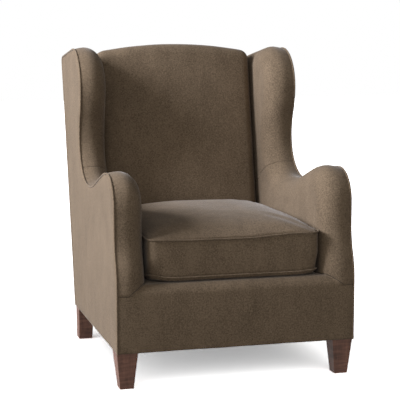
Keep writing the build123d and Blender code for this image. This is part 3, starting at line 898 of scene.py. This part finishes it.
def cut_loops(bm, place, direction, offsets, kept):
    """Cuts extra edge loops into the faces near a plane."""
    for offset in offsets:
        chosen = [f for f in bm.faces if kept(f.calc_center_median())]
        edges = dict.fromkeys(e for f in chosen for e in f.edges)
        corners = dict.fromkeys(v for f in chosen for v in f.verts)
        bmesh.ops.bisect_plane(
            bm, geom=chosen + list(edges) + list(corners), dist=merge_gap,
            plane_co=place + direction * offset, plane_no=direction,
        )


def side_pieces(side):
    """The arm and the wing pad of one side, parted at the seam that runs round the wing's foot."""
    sign = side_sign[side]
    whole = add_object("side_" + side, *side_shell(sign), cloth)
    closed_mesh(whole)
    move_along_normals(whole, ripple * unevenness(vertex_places(whole), scale=0.07, seed=3 + sign))
    turn = math.radians(wing_seam_angle)
    sweep_y = front_y + arm_recess + hump_radius + arm_arcs * math.sin(slope)
    sweep_y += slope_run * math.cos(slope) + dip_flat
    seam_z = arm_top - arm_drop + wing_sweep_radius * (1 - math.cos(turn))
    place = Vector((0, sweep_y + wing_sweep_radius * math.sin(turn), seam_z))
    fall = math.radians(wing_seam_fall)
    upward = Vector((0, math.sin(fall), math.cos(fall)))

    def crossed(x, y):
        return (y < front_y + cross_run) & (abs(x) > cross_x)

    made = []
    for name, keep in (("arm_", -1), ("wing_", 1)):
        obj = placed(name + side, whole.data.copy())
        obj.data.name = name + side
        with mesh_edit(obj) as bm:
            offsets = [keep * d for d in wing_seam_cuts]
            cut_loops(bm, place, upward, offsets, lambda p: abs((p - place).dot(upward)) < wing_cut_reach)
            bmesh.ops.bisect_plane(
                bm, geom=bm.verts[:] + bm.edges[:] + bm.faces[:], dist=merge_gap, plane_co=place,
                plane_no=upward * keep, clear_inner=True,
            )
            if keep < 0:
                level = axis_z * arm_base_z
                cut_loops(bm, level, axis_z, base_seam_cuts, lambda p: p.z < arm_base_z + arm_cut_reach)
                cut_loops(
                    bm, axis_z * cross_z, axis_z, cross_cuts,
                    lambda p: crossed(p.x, p.y) and abs(p.z - cross_z) < arm_cut_reach,
                )
        closed_mesh(obj)
        places = vertex_places(obj)
        across = (places - np.array(place)).dot(np.array(upward))
        seam_press(obj, across, wing_seam_depth, wing_seam_reach)
        if keep < 0:
            x, y, z = places.T
            near_front = y < front_y + base_seam_run
            seam_press(obj, np.where(near_front, z - arm_base_z, 1), base_seam_depth, base_seam_reach)
            seam_press(obj, np.where(crossed(x, y), z - cross_z, 1), cross_depth, cross_reach)
        soften(obj)
        made.append(obj)
    bpy.data.objects.remove(whole)
    return made


arms = {}
for side in side_sign:
    arms[side], wing = side_pieces(side)
    for obj, node in ((arms[side], "arm"), (wing, "wing")):
        dress(obj, "chair", "upholstery", f"inside_{node}_cover_{side}", f"{node}_pad_{side}")


def cloth_sheet(name, node, axes, spacings, rings, rise, material, thickness, wobble=0.0):
    """A cloth sheet on the outline of a flat CAD face, raised by a rule, with its rim loops and its area."""
    direction, across, up = axes
    loops = flat_loops(node, axes, spacings[0])
    flat, triangles = filled(loops, spacings[1], rings)
    heights = rise(flat, edge_distance(flat, loops))
    points = [across * float(a) + up * float(b) + direction * float(h) for (a, b), h in zip(flat, heights)]
    obj = add_object(name, points, triangles, material)
    with mesh_edit(obj) as bm:
        bmesh.ops.recalc_face_normals(bm, faces=bm.faces)
        if sum(f.normal.dot(direction) for f in bm.faces) < 0:
            bmesh.ops.reverse_faces(bm, faces=bm.faces)
    if wobble:
        move_along_normals(obj, wobble * unevenness(vertex_places(obj), scale=0.09, seed=11))
    area = sum(p.area for p in obj.data.polygons)
    thick = obj.modifiers.new("thickness", "SOLIDIFY")
    thick.thickness = thickness
    thick.offset = -1
    soften(obj)
    return obj, loops, area


def puffed_panel(name, node, axes, out, crown):
    """A cloth panel tucked in at its rim and swelling between."""

    def rise(flat, away):
        return out + crown * (1 - np.exp(-away / panel_reach))

    panel, loops, area = cloth_sheet(
        name, node, axes, panel_spacings, panel_rings, rise, cloth, panel_thickness, ripple,
    )
    dress(panel, "chair", "upholstery", node)


for side, sign in side_sign.items():
    puffed_panel(
        "outer_side_" + side, "outside_panel_" + side, (axis_x * sign, axis_y, axis_z),
        half_width - panel_rim, panel_crown,
    )
    route = [(sign * (half_width - welt_radius), y, z) for y, z in outer_path(base_z + piping_foot)]
    piping = tube("side_piping_" + side, route, welt_radius, materials["piping"])
    dress(piping, "chair", "piping", "side_welt_" + side)

puffed_panel(
    "rear_panel", "outside_back_panel",
    (Vector((0, math.cos(rake), -math.sin(rake))), axis_x, Vector((0, math.sin(rake), math.cos(rake)))),
    rear_foot_y * math.cos(rake) - base_z * math.sin(rake) - rear_panel_rim,
    rear_panel_crown,
)


def seat_back():
    """The padded inside back, crowned both ways and rounded over its arched top."""
    up = np.array([math.sin(inside_lean), math.cos(inside_lean)])
    rearward = np.array([math.cos(inside_lean), -math.sin(inside_lean)])
    origin = np.array([deck_back, deck_z])
    top_fall = math.tan(math.radians(wing_top_slope))
    ridge_y = back_front(crest_top) + back_top_radius
    side_count, turn_count, front_count = back_section_counts
    rise_count, top_count, cap_count = back_row_counts

    def top_height(x, depth):
        arch = crest_top - (crest_radius - math.sqrt(crest_radius ** 2 - x * x))
        behind = origin[0] + rearward[0] * depth - ridge_y
        level = arch - top_fall * behind - origin[1] - rearward[1] * depth
        return level / (up[1] + top_fall * up[0])

    def rear_depth(height):
        z = origin[1] + up[1] * height
        y = origin[0] + up[0] * height
        gap = rear_foot_y - rear_seat + (z - base_z) * rear_lean - y
        return gap / (rearward[0] - rearward[1] * rear_lean)

    def section(inset, rear, crown):
        half = back_half - inset
        room = rear - inset - crown - back_corner_room
        corner = max(back_least_corner, min(back_edge_radius - inset, room))
        edge = inset + crown
        run = rear - edge - corner
        right = [(half, edge + corner + run * k / side_count) for k in range(side_count, 0, -1)]
        for angle in quarter_turn(turn_count):
            right.append((half - corner + corner * math.cos(angle), edge + corner - corner * math.sin(angle)))
        span = half - corner
        front = [span * (1 - 2 * k / front_count) for k in range(1, front_count)]
        front = [(x, inset + crown * (x / span) ** 2) for x in front]
        return right + front + [(-x, d) for x, d in reversed(right)]

    rows = [(0.0, k / (rise_count - 1), None, back_crown) for k in range(rise_count)]
    for angle in quarter_turn(top_count, 1):
        rows.append((back_top_radius * (1 - math.cos(angle)), 1.0, math.sin(angle), back_crown))
    full = rear_depth(crest_top - deck_z) - back_rear_gap
    for k in range(1, cap_count + 1):
        share = k / cap_count
        inset = back_top_radius + (full - back_top_radius) * share
        rows.append((inset, 1.0, 1.0, back_crown * (1 - share)))
    points = []
    for inset, share, rounding, crown in rows:
        rear = rear_depth((crest_top - deck_z) * share)
        for x, depth in section(inset, rear, crown):
            x = x * (1 + back_side_fill / back_half * smooth_step(depth, *back_fill_depths))
            limit = top_height(x, depth) - back_top_radius
            height = back_low + (limit - back_low) * share
            if rounding is not None:
                height = limit + back_top_radius * rounding
            elif depth < back_edge_radius + back_crown:
                up_share = min(1.0, max(0.0, height / back_bulge_height))
                swollen = math.sin(math.pi * up_share) ** back_bulge_power
                depth = depth - back_bulge * (max(0.0, 1 - (x / back_half) ** 2) * swollen)
            points.append((x, *(origin + up * height + rearward * depth)))
    obj = add_object("seat_back", points, grid_faces(len(rows), len(points) // len(rows)), cloth)
    closed_mesh(obj)
    move_along_normals(obj, ripple * unevenness(vertex_places(obj), scale=0.08, seed=5))
    return obj


back = seat_back()
dress(back, "chair", "upholstery", "inside_back_cover", "back_pad")


def arm_crease():
    """Where the right arm meets the border, from the outside in, and the way the crease opens there."""
    outside_count, round_count = crease_counts
    places = []
    openings = []
    for angle in quarter_turn(round_count - 1):
        depth = inner_round * (1 - math.cos(angle))
        x = inner_x + inner_round - inner_round * math.sin(angle)
        turned = max(0.0, 1 - depth / border_edge_radius)
        lift = math.sqrt(1 - turned ** 2)
        places.append((x, front_y + depth, deck_z - border_edge_radius * (1 - lift)))
        opening = np.array([-math.sin(angle), -math.cos(angle) - turned, lift])
        openings.append(opening / np.linalg.norm(opening))
    run = edge_x - places[0][0]
    outside = [(edge_x - run * k / outside_count, front_y, places[0][2]) for k in range(outside_count)]
    return np.array(outside + places), np.array([(0, -1.0, 0)] * outside_count + openings)


def arm_crease_shade(side):
    """A dark tube sunk along the crease where an arm meets the border: painted shade of that sewn crease."""
    sign = np.array([side_sign[side], 1, 1])
    graph = bpy.context.evaluated_depsgraph_get()
    shapes = [bvhtree.BVHTree.FromObject(obj, graph) for obj in (arms[side], border)]
    heights = []
    places, openings = arm_crease()
    for place, opening in zip(places * sign, openings * sign):
        start = Vector(place + seam_probe * opening)
        hits = [shape.ray_cast(start, Vector(-opening), seam_probe_length)[3] for shape in shapes]
        heights.append(seam_probe - min([h for h in hits if h is not None], default=seam_probe))
    evening = np.ones(seam_even_count) / seam_even_count
    evened = np.convolve(np.pad(heights, seam_even_count // 2, mode="edge"), evening, mode="valid")
    path = (places + openings * (evened - crease_shade_radius * seam_sink)[:, None]) * sign
    return tube("arm_seam_" + side, path, crease_shade_radius, crease_shade_material)


def front_border():
    """The padded border under the seat front, rounded over its top edge and turned under at its foot."""
    foot_count, rise_count, edge_count, top_count, across_count = border_counts
    foot = border_foot_radius
    edge = border_edge_radius
    top_start = deck_z - edge
    profile = [(depth, base_z + border_foot_lift) for depth in border_turn_under]
    for angle in quarter_turn(foot_count):
        profile.append((foot - foot * math.sin(angle), base_z + foot - foot * math.cos(angle)))
    for k in range(1, rise_count + 1):
        profile.append((0.0, base_z + foot + (top_start - base_z - foot) * k / rise_count))
    for angle in quarter_turn(edge_count, 1):
        profile.append((edge - edge * math.cos(angle), top_start + edge * math.sin(angle)))
    for k in range(1, top_count + 1):
        profile.append((edge + (border_depth - edge) * k / top_count, deck_z))
    points = []
    for depth, z in profile:
        share = np.clip((z - base_z) / (deck_z - base_z), 0, 1)
        for x in np.linspace(-edge_x, edge_x, across_count):
            swollen = border_crown * math.sin(math.pi * share) ** border_crown_power
            swollen *= 1 - math.exp(-(edge_x - abs(x)) / border_crown_reach)
            points.append((x, front_y + depth - (swollen + pad_rim), z))
    faces = grid_faces(len(profile), across_count, wrap=True)
    faces += [tuple(range(end, len(points), across_count)) for end in (0, across_count - 1)]
    obj = add_object("front_border", points, faces, cloth)
    closed_mesh(obj)
    right = arm_crease()[0]
    tree = point_tree([*right, *(right * np.array([-1, 1, 1]))])
    seam_press(obj, distances(vertex_places(obj), tree), seam_depth, seam_reach)
    move_along_normals(obj, ripple * unevenness(vertex_places(obj), scale=0.06, seed=8))
    return obj


border = front_border()
dress(border, "chair", "upholstery", "front_border_cover", "front_border_pad")
# dark tubes in the creases between arms and border: painted shade
for side in side_sign:
    dress(arm_crease_shade(side), "chair", "piping")


def seat_deck():
    """The covered deck under the cushion, rounded off along its rim."""
    loops = flat_loops("deck_cover", (axis_z, axis_x, axis_y), deck_spacings[0])
    flat, triangles = filled(loops, deck_spacings[1], deck_rings)
    drops = deck_rim * np.exp(-edge_distance(flat, loops) / deck_rim_reach)
    points = [(x, y, deck_z - deck_drop - drop) for (x, y), drop in zip(flat, drops)]
    obj = add_object("seat_deck", points, triangles, cloth)
    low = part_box("deck_pad")[0].z + deck_foot
    with mesh_edit(obj) as bm:
        for part in bmesh.ops.extrude_face_region(bm, geom=bm.faces[:])["geom"]:
            if isinstance(part, bmesh.types.BMVert):
                part.co.z = low
        bmesh.ops.recalc_face_normals(bm, faces=bm.faces)
    soften(obj)
    return obj


deck = seat_deck()
dress(deck, "chair", "upholstery", "deck_cover", "deck_pad")


def cushion_rear(z):
    """Where the back of the cushion stands at a height: it leans with the inside back."""
    return cushion_high.y + (z - seam_high) * math.tan(inside_lean)


def cushion_ring(inset, z, count):
    """Plan outline of the cushion at a height, moved in by an inset, drawn in a little along its sides."""
    half = cushion_high.x - inset
    front = cushion_low.y + inset
    back_y = cushion_rear(z) - inset
    corner = max(cushion_least_corner, cushion_corner - inset)
    path = []
    for x, y, start in ((half, front, -90), (half, back_y, 0), (-half, back_y, 90), (-half, front, 180)):
        centre = (x - math.copysign(corner, x), y + (corner if y == front else -corner))
        for k in range(cushion_corner_steps + 1):
            angle = math.radians(start + 90 * k / cushion_corner_steps)
            path.append((centre[0] + corner * math.cos(angle), centre[1] + corner * math.sin(angle)))
    closed = np.array(path + path[:1])
    at = np.concatenate([[0], np.cumsum(np.linalg.norm(np.diff(closed, axis=0), axis=1))])
    wanted = np.linspace(0, at[-1], count, endpoint=False)
    x = np.interp(wanted, at, closed[:, 0])
    y = np.interp(wanted, at, closed[:, 1])
    middle = (front + back_y) / 2
    draw_x = cushion_draw * np.cos(np.clip((y - middle) / (back_y - front), -0.5, 0.5) * math.pi)
    draw_y = cushion_draw * np.cos(np.clip(x / half / 2, -0.5, 0.5) * math.pi)
    x = x - np.sign(x) * draw_x * smooth_step(np.abs(x), half * cushion_draw_from, half)
    y = y + draw_y * smooth_step(front - y, -cushion_draw_run, 0)
    return np.stack([x, y], axis=1)


def seam_wave(ring):
    """How far the top seam rides up or down round the cushion."""
    x, y = ring.T
    wave = np.interp(x, [p for p, _ in seam_sag], [d for _, d in seam_sag])
    return wave * (seam_sag_rear + (1 - seam_sag_rear) * smooth_step(-y, *seam_sag_run))


def cushion_levels():
    """Rows of the cushion from the middle of its underside to the middle of its top, as (inset, height)."""
    full = cushion_high.x * cushion_full
    rows = [*((full * share, 0.0) for share in cushion_under_rows), *cushion_foot_rows]
    rows = [(inset, cushion_foot + rise) for inset, rise in rows]
    for k in range(cushion_side_rows + 1):
        share = k / cushion_side_rows
        bulge = cushion_side_bulge * math.sin(math.pi * share)
        rows.append((-bulge, seam_low + (seam_high - seam_low) * share))
    return rows + [(share * full, seam_high) for share in cushion_top_rows]


def crown_share(distance):
    """How much of the crown a place has at a distance from one edge."""
    share = np.clip(distance / cushion_crown_run, 0, 1)
    return 1 - (1 - share ** cushion_crown_turn) ** cushion_crown_power


def crown_rise(points):
    """Height of the cushion's crown over the seam, rounded off towards all four edges."""
    across = crown_share(cushion_high.x - np.abs(points[:, 0]))
    along = crown_share(np.minimum(points[:, 1] - cushion_low.y, cushion_high.y - points[:, 1]))
    return (cushion_crown - cushion_slack) * across * along


def drawn_corners(points):
    """Draws the lower corners of the cushion in and up."""
    points = np.array(points)
    x, y, z = points.T.copy()
    middle_y = (cushion_low.y + cushion_high.y) / 2
    corner_x = np.abs(np.abs(x) - cushion_high.x)
    corner_y = np.minimum(np.abs(y - cushion_low.y), np.abs(y - cushion_rear(z)))
    near = np.exp(-(corner_x ** 2 + corner_y ** 2) / cushion_corner_reach ** 2)
    near = near * (1 - smooth_step(z, seam_low, seam_low + cushion_corner_height))
    near = near * np.where(x > 0, cushion_right_share, 1.0)
    points[:, 0] -= np.sign(x) * cushion_corner_draw * near
    points[:, 1] -= np.sign(y - middle_y) * cushion_corner_draw * near
    points[:, 2] += cushion_corner_lift * near
    return points


def keep_result(obj):
    """Replaces the mesh of an object by its result after the modifiers."""
    graph = bpy.context.evaluated_depsgraph_get()
    mesh = bpy.data.meshes.new_from_object(obj.evaluated_get(graph))
    obj.modifiers.clear()
    old = obj.data
    obj.data = mesh
    mesh.name = obj.name
    bpy.data.meshes.remove(old)


def cushion_form():
    """Closed start form of the cushion in even quads."""
    points = []
    levels = cushion_levels()
    for inset, z in levels:
        ring = cushion_ring(inset, z, ring_count)
        lift = seam_wave(ring) * smooth_step(z, seam_low, seam_high)
        if z == seam_high and inset > 0:
            lift = lift + crown_rise(ring)
        points += [(x, y, z + d) for (x, y), d in zip(ring, lift)]
    faces = grid_faces(len(levels), ring_count, ring=True)
    faces.append(tuple(reversed(range(ring_count))))
    faces.append(tuple(range(len(points) - ring_count, len(points))))
    obj = add_object("seat_cushion", drawn_corners(points), faces, cloth)
    closed_mesh(obj)
    remesh = obj.modifiers.new("even", "REMESH")
    remesh.mode = "VOXEL"
    remesh.voxel_size = cushion_voxel
    keep_result(obj)
    return obj


def swell(obj, held):
    """Lets the cushion cover swell under the pressure of its filling while its seams are held."""
    rest = vertex_places(obj)
    group = obj.vertex_groups.new(name="seams")
    group.add([int(k) for k in np.nonzero(held)[0]], 1.0, "ADD")
    filling = obj.modifiers.new("filling", "CLOTH")
    settings = filling.settings
    settings.vertex_group_mass = "seams"
    settings.use_pressure = True
    settings.uniform_pressure_force = cushion_pressure
    settings.quality = 5
    settings.mass = 0.25
    settings.tension_stiffness = 25
    settings.compression_stiffness = 25
    settings.bending_stiffness = 4
    settings.effector_weights.gravity = 0
    filling.point_cache.frame_start = 1
    filling.point_cache.frame_end = cushion_frames
    for number in range(1, cushion_frames + 1):
        scene.frame_set(number)
    graph = bpy.context.evaluated_depsgraph_get()
    moved = vertex_places(obj.evaluated_get(graph)) - rest
    obj.modifiers.clear()
    obj.vertex_groups.clear()
    scene.frame_set(1)
    length = np.linalg.norm(moved, axis=1)
    share = cushion_cap / np.maximum(length, cushion_cap)
    set_places(obj, rest + moved * share[:, None])


def past_room(beyond):
    """How far a swell has to come back to stay within the room beside the cushion."""
    beyond = np.maximum(beyond, 0)
    return beyond - cushion_side_room * (1 - np.exp(-beyond / cushion_side_room))


def zip_share(places):
    """1 on the strip of the cushion's back that carries the zip, 0 away from it."""
    x, y, z = places.T
    along = 1 - smooth_step(np.abs(x), *(zip_half + d for d in zip_flat_ends))
    height = 1 - smooth_step(np.abs(z - zip_z), *(zip_width / 2 + d for d in zip_flat_edges))
    return along * height * (y > cushion_rear(z) - zip_flat_depth)


def offset_path(path, amount):
    """A closed path moved outward in plan."""
    ahead = ring_heading(path[:, :2])
    return path + amount * np.stack([ahead[:, 1], -ahead[:, 0], 0 * ahead[:, 0]], axis=1)


def seat_cushion():
    """The loose cushion: swollen between its seams, drawn in along them, with its piping."""
    ring = cushion_ring(0, seam_high, seam_count)
    top_seam = np.column_stack([ring, seam_high + seam_wave(ring)])
    low_ring = cushion_ring(0, seam_low, seam_count)
    low_seam = drawn_corners(np.column_stack([low_ring, np.full(seam_count, seam_low)]))
    obj = cushion_form()
    tree = point_tree([*top_seam, *low_seam])
    places = vertex_places(obj)
    away = distances(places, tree)
    on_deck = places[:, 2] < cushion_foot + deck_touch
    swell(obj, (away < cushion_voxel * held_share) | on_deck | (zip_share(places) > 0.5))
    group = obj.vertex_groups.new(name="away_from_seams")
    for k, share in enumerate(smooth_step(away, *relax_reach)):
        group.add([k], float(share), "ADD")
    relaxed = obj.modifiers.new("relaxed", "SMOOTH")
    relaxed.vertex_group = "away_from_seams"
    relaxed.iterations = cushion_relaxing
    finer = obj.modifiers.new("finer", "SUBSURF")
    finer.levels = 1
    keep_result(obj)
    obj.vertex_groups.clear()
    places = vertex_places(obj)
    away = distances(places, tree)
    seam_press(obj, away, seam_depth, seam_reach)
    pucker = unevenness(places * np.array(pucker_stretch), scale=0.012, seed=9)
    pucker *= np.exp(-away / pucker_reach)
    uneven = pucker_depth * pucker + ripple * unevenness(places, scale=0.06, seed=2)
    move_along_normals(obj, uneven * (1 - zip_share(places)))
    places = vertex_places(obj)
    places[:, 2] = np.maximum(places[:, 2], cushion_foot)
    places[:, 0] -= np.sign(places[:, 0]) * past_room(np.abs(places[:, 0]) - cushion_high.x)
    too_far = past_room(places[:, 1] - cushion_rear(places[:, 2]))
    places[:, 1] -= np.where(places[:, 2] < seam_high, too_far, 0)
    over_zip = zip_share(places) * (places[:, 1] - cushion_rear(places[:, 2]) + zip_sink)
    places[:, 1] -= np.maximum(over_zip, 0)
    set_places(obj, places)
    soften(obj, cushion_smooth_angle)
    top, low = [
        tube(name, offset_path(seam, cushion_piping_out), cushion_welt_radius, materials["piping"], ring=True)
        for name, seam in (("cushion_piping_top", top_seam), ("cushion_piping_low", low_seam))
    ]
    return obj, top, low


cushion, top_piping, low_piping = seat_cushion()
cushion_nodes = ("cushion_core", "cushion_top_panel", "cushion_boxing", "cushion_bottom_panel")
dress(cushion, "seat_cushion", "upholstery", *cushion_nodes)
dress(top_piping, "seat_cushion", "piping", "cushion_welts")
dress(low_piping, "seat_cushion", "piping")

zip_out = np.array([0, math.cos(inside_lean), -math.sin(inside_lean)])
zip_up = np.array([0, math.sin(inside_lean), math.cos(inside_lean)])
zip_along = np.array([1.0, 0, 0])
zip_seat = np.array([0, cushion_rear(zip_z), zip_z]) + zip_out * zip_seat_gap


def zip_place(x, rise, height):
    """A place on the zip: along it, up the tape and out from the cushion."""
    return zip_seat + zip_along * x + zip_up * rise + zip_out * height


def zip_box(x, rise, height, half, taper):
    """A small box on the zip."""
    return zip_place(x, rise, height), zip_along * half[0], zip_up * half[1], zip_out * half[2], taper


def zip_tape():
    """The woven tapes of the zip with the stitching that holds them."""
    half = (zip_half, zip_width / 4 - tape_gap, tape_half)
    boxes = [zip_box(0, side * (zip_width / 4 + tape_gap), tape_half, half, 1.0) for side in (-1, 1)]
    count = int(zip_half * 2 / stitch_pitch)
    stitches = []
    for k in range(count):
        x = -zip_half + (k + 0.5) * 2 * zip_half / count
        for side in (-1, 1):
            rise = side * (zip_width / 2 - stitch_inset)
            stitches.append(zip_box(x, rise, stitch_height, stitch_half, 0.7))
    tape = boxes_object("zip_tape", boxes, materials["zip_tape"], 0.00015)
    return tape, boxes_object("zip_stitches", stitches, thread_material, 0.0001)


def zip_teeth():
    """The two rows of teeth, half a pitch apart, and the stops at their ends."""
    teeth = []
    reach = zip_half - teeth_margin
    for k in range(int(2 * reach / tooth_pitch)):
        for side in (-1, 1):
            x = -reach + (k + 0.25 + 0.25 * side) * tooth_pitch
            teeth.append(zip_box(x, side * tooth_rise, tooth_height, tooth_half, 0.8))
    for end in (-1, 1):
        teeth.append(zip_box(end * (zip_half - stop_margin), 0, stop_height, stop_half, 0.85))
    return boxes_object("zip_teeth", teeth, materials["zip_metal"], 0.00018)


def zip_slider():
    """The slider: a plate with side flanges, a bridge and a pull that lies flat along the tape."""
    low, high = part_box("zipper_slider")
    x = (low.x + high.x) / 2
    half = (high.x - low.x) / 2
    boxes = [
        zip_box(x, 0, 0.0035, (half, 0.0040, 0.0006), 0.86),
        zip_box(x, flange_rise, 0.0022, (half * 0.9, 0.0006, 0.0010), 1.0),
        zip_box(x, -flange_rise, 0.0022, (half * 0.9, 0.0006, 0.0010), 1.0),
        zip_box(x - half * 0.45, 0, 0.0043, bridge_post_half, 0.9),
        zip_box(x + half * 0.55, 0, 0.0043, bridge_post_half, 0.9),
        zip_box(x + half * 0.05, 0, 0.0049, (half * 0.75, 0.0014, 0.0003), 0.9),
    ]
    body = boxes_object("zip_slider_body", boxes, materials["zip_metal"], 0.0003)
    turns = 2 * math.pi * np.arange(pull_count) / pull_count
    round_path = np.stack([np.cos(turns), np.sin(turns)], axis=1)
    outer = np.array(pull_half) * np.copysign(np.abs(round_path) ** pull_power, round_path)
    hole = np.array(pull_hole_half) * round_path + np.array([pull_hole_at, 0])
    # a spacing of its whole length adds no points inside the pull
    _, triangles = filled([outer, hole], 2 * pull_half[0])
    centre = x - half * 0.3 - pull_hole_at
    points = [zip_place(centre + a, b, height) for height in pull_heights for a, b in (*outer, *hole)]
    level = 2 * pull_count
    faces = triangles + [tuple(level + i for i in reversed(t)) for t in triangles]
    for k in range(pull_count):
        n = (k + 1) % pull_count
        for a, b in ((k, n), (pull_count + n, pull_count + k)):
            faces.append((a, b, level + b, level + a))
    pull = add_object("zip_pull", points, faces, materials["zip_metal"])
    closed_mesh(pull)
    return body, pull


tape, tape_thread = zip_tape()
dress(tape, "seat_cushion", "zip_tape", "zipper_chain")
dress(tape_thread, "seat_cushion", "piping")
dress(zip_teeth(), "seat_cushion", "zip_metal")
slider_body, slider_pull = zip_slider()
dress(slider_body, "zip_slider", "zip_metal", "zipper_slider")
dress(slider_pull, "zip_slider", "zip_metal")

cover_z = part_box("dust_cover")[0].z + cover_lift


def cover_hang(flat, away):
    """How far the under cover hangs from the origin, downward, slack between its tacked edges."""
    wave = unevenness([(x, y, 0) for x, y in flat], scale=0.12, seed=21)
    return (cover_sag + cover_wave * wave) * (1 - np.exp(-away / cover_reach)) - cover_z


def cover_staples(loops):
    """The staples along the rim of the under cover, none where two edges are near."""
    outer = loops[0]
    ahead = ring_heading(outer)
    inward = np.stack([-ahead[:, 1], ahead[:, 0]], axis=1)
    if not inside(outer[:1] + inward[:1] * inward_probe, outer)[0]:
        inward = -inward
    staples = []
    for k in range(2, len(outer), staple_step):
        place = outer[k] + inward[k] * staple_inset
        if edge_distance(np.array([place]), loops)[0] < staple_inset * ring_clear:
            continue
        skew = staple_skew * noise.noise(Vector((*place, staple_noise[0])) * staple_noise[1])
        along = ahead[k] + skew * np.array([-ahead[k][1], ahead[k][0]])
        along /= np.linalg.norm(along)
        axes = np.array([(*along, 0), (-along[1], along[0], 0), (0, 0, -1)])
        centre = np.array([*place, cover_z - staple_drop])
        staples.append((centre, *(axes * np.array(staple_half)[:, None]), 0.95))
    return boxes_object("under_cover_staples", staples, materials["plated_steel"], 0.00018)


cover, cover_loops, cover_area = cloth_sheet(
    "under_cover", "dust_cover", (-axis_z, axis_x, axis_y), cover_spacings, cover_rings, cover_hang,
    materials["cambric"], cover_thickness,
)
dress(cover, "chair", "cambric", "dust_cover")
dress(cover_staples(cover_loops), "chair", "plated_steel")


def background_rays(tree):
    """1 for the rays straight to the camera, and 1 for those that show the background in gloss or glass."""
    rays = tree.nodes.new("ShaderNodeLightPath")
    mirrored = math_node(tree, "MAXIMUM", rays.outputs["Is Glossy Ray"], rays.outputs["Is Transmission Ray"])
    return rays.outputs["Is Camera Ray"], mirrored


floor_mesh = bpy.data.meshes.new("floor")
corners = [(a * floor_half, b * floor_half, 0) for a, b in ((-1, -1), (1, -1), (1, 1), (-1, 1))]
floor_mesh.from_pydata(corners, [], [(0, 1, 2, 3)])
floor = placed("floor", floor_mesh)
floor_material = bpy.data.materials.new("white_floor")
floor_material.use_nodes = True
floor_mesh.materials.append(floor_material)
tree = floor_material.node_tree
tree.nodes.clear()
floor_out = tree.nodes.new("ShaderNodeOutputMaterial")
floor_sum = tree.nodes.new("ShaderNodeAddShader")
floor_diffuse = tree.nodes.new("ShaderNodeBsdfDiffuse")
floor_glow = tree.nodes.new("ShaderNodeEmission")
seen, mirrored = background_rays(tree)
glow = weighted(tree, (seen, floor_glow_strength), (mirrored, floor_mirrored_strength))
floor_tone = math_node(tree, "ADD", math_node(tree, "MULTIPLY", seen, floor_gain), floor_colour)
tree.links.new(glow, floor_glow.inputs["Strength"])
tree.links.new(floor_tone, floor_diffuse.inputs["Color"])
tree.links.new(floor_diffuse.outputs[0], floor_sum.inputs[0])
tree.links.new(floor_glow.outputs[0], floor_sum.inputs[1])
tree.links.new(floor_sum.outputs[0], floor_out.inputs["Surface"])

# white to the camera, and a soft fill from the front
world = bpy.data.worlds.new("studio")
scene.world = world
world.use_nodes = True
tree = world.node_tree
background = tree.nodes["Background"]
background.inputs["Color"].default_value = (1, 1, 1, 1)
facing = tree.nodes.new("ShaderNodeVectorMath")
facing.operation = "DOT_PRODUCT"
facing.inputs[1].default_value = fill_aim
tree.links.new(tree.nodes.new("ShaderNodeTexCoord").outputs["Generated"], facing.inputs[0])
ahead = math_node(tree, "MAXIMUM", facing.outputs["Value"], 0.0)
fill = math_node(tree, "ADD", math_node(tree, "MULTIPLY", ahead, fill_front), fill_around)
shown = math_node(tree, "MAXIMUM", *background_rays(tree))
tree.links.new(math_node(tree, "MAXIMUM", fill, shown), background.inputs["Strength"])

# the key light leaves out the floor, so the only shadow there is the soft one of the fill
light_data = bpy.data.lights.new("key_light", "AREA")
light_data.shape = "SQUARE"
light_data.size = key_size
light_data.energy = key_power
light_data.color = key_colour
key_light = placed("key_light", light_data)
key_light.location = key_place
key_light.rotation_euler = (Vector(key_target) - Vector(key_place)).to_track_quat("-Z", "Y").to_euler()
unlit = bpy.data.collections.new("floor_outside_key_light")
unlit.objects.link(floor)
key_light.light_linking.receiver_collection = unlit
unlit.collection_objects[0].light_linking.link_state = "EXCLUDE"

camera_data = bpy.data.cameras.new("camera")
camera_data.lens = camera_lens
camera_data.sensor_width = 36
camera = placed("camera", camera_data)
camera.location = camera_place
camera.rotation_euler = (math.radians(camera_tilt), 0, math.radians(camera_turn))
scene.camera = camera
scene.view_settings.view_transform = "Standard"
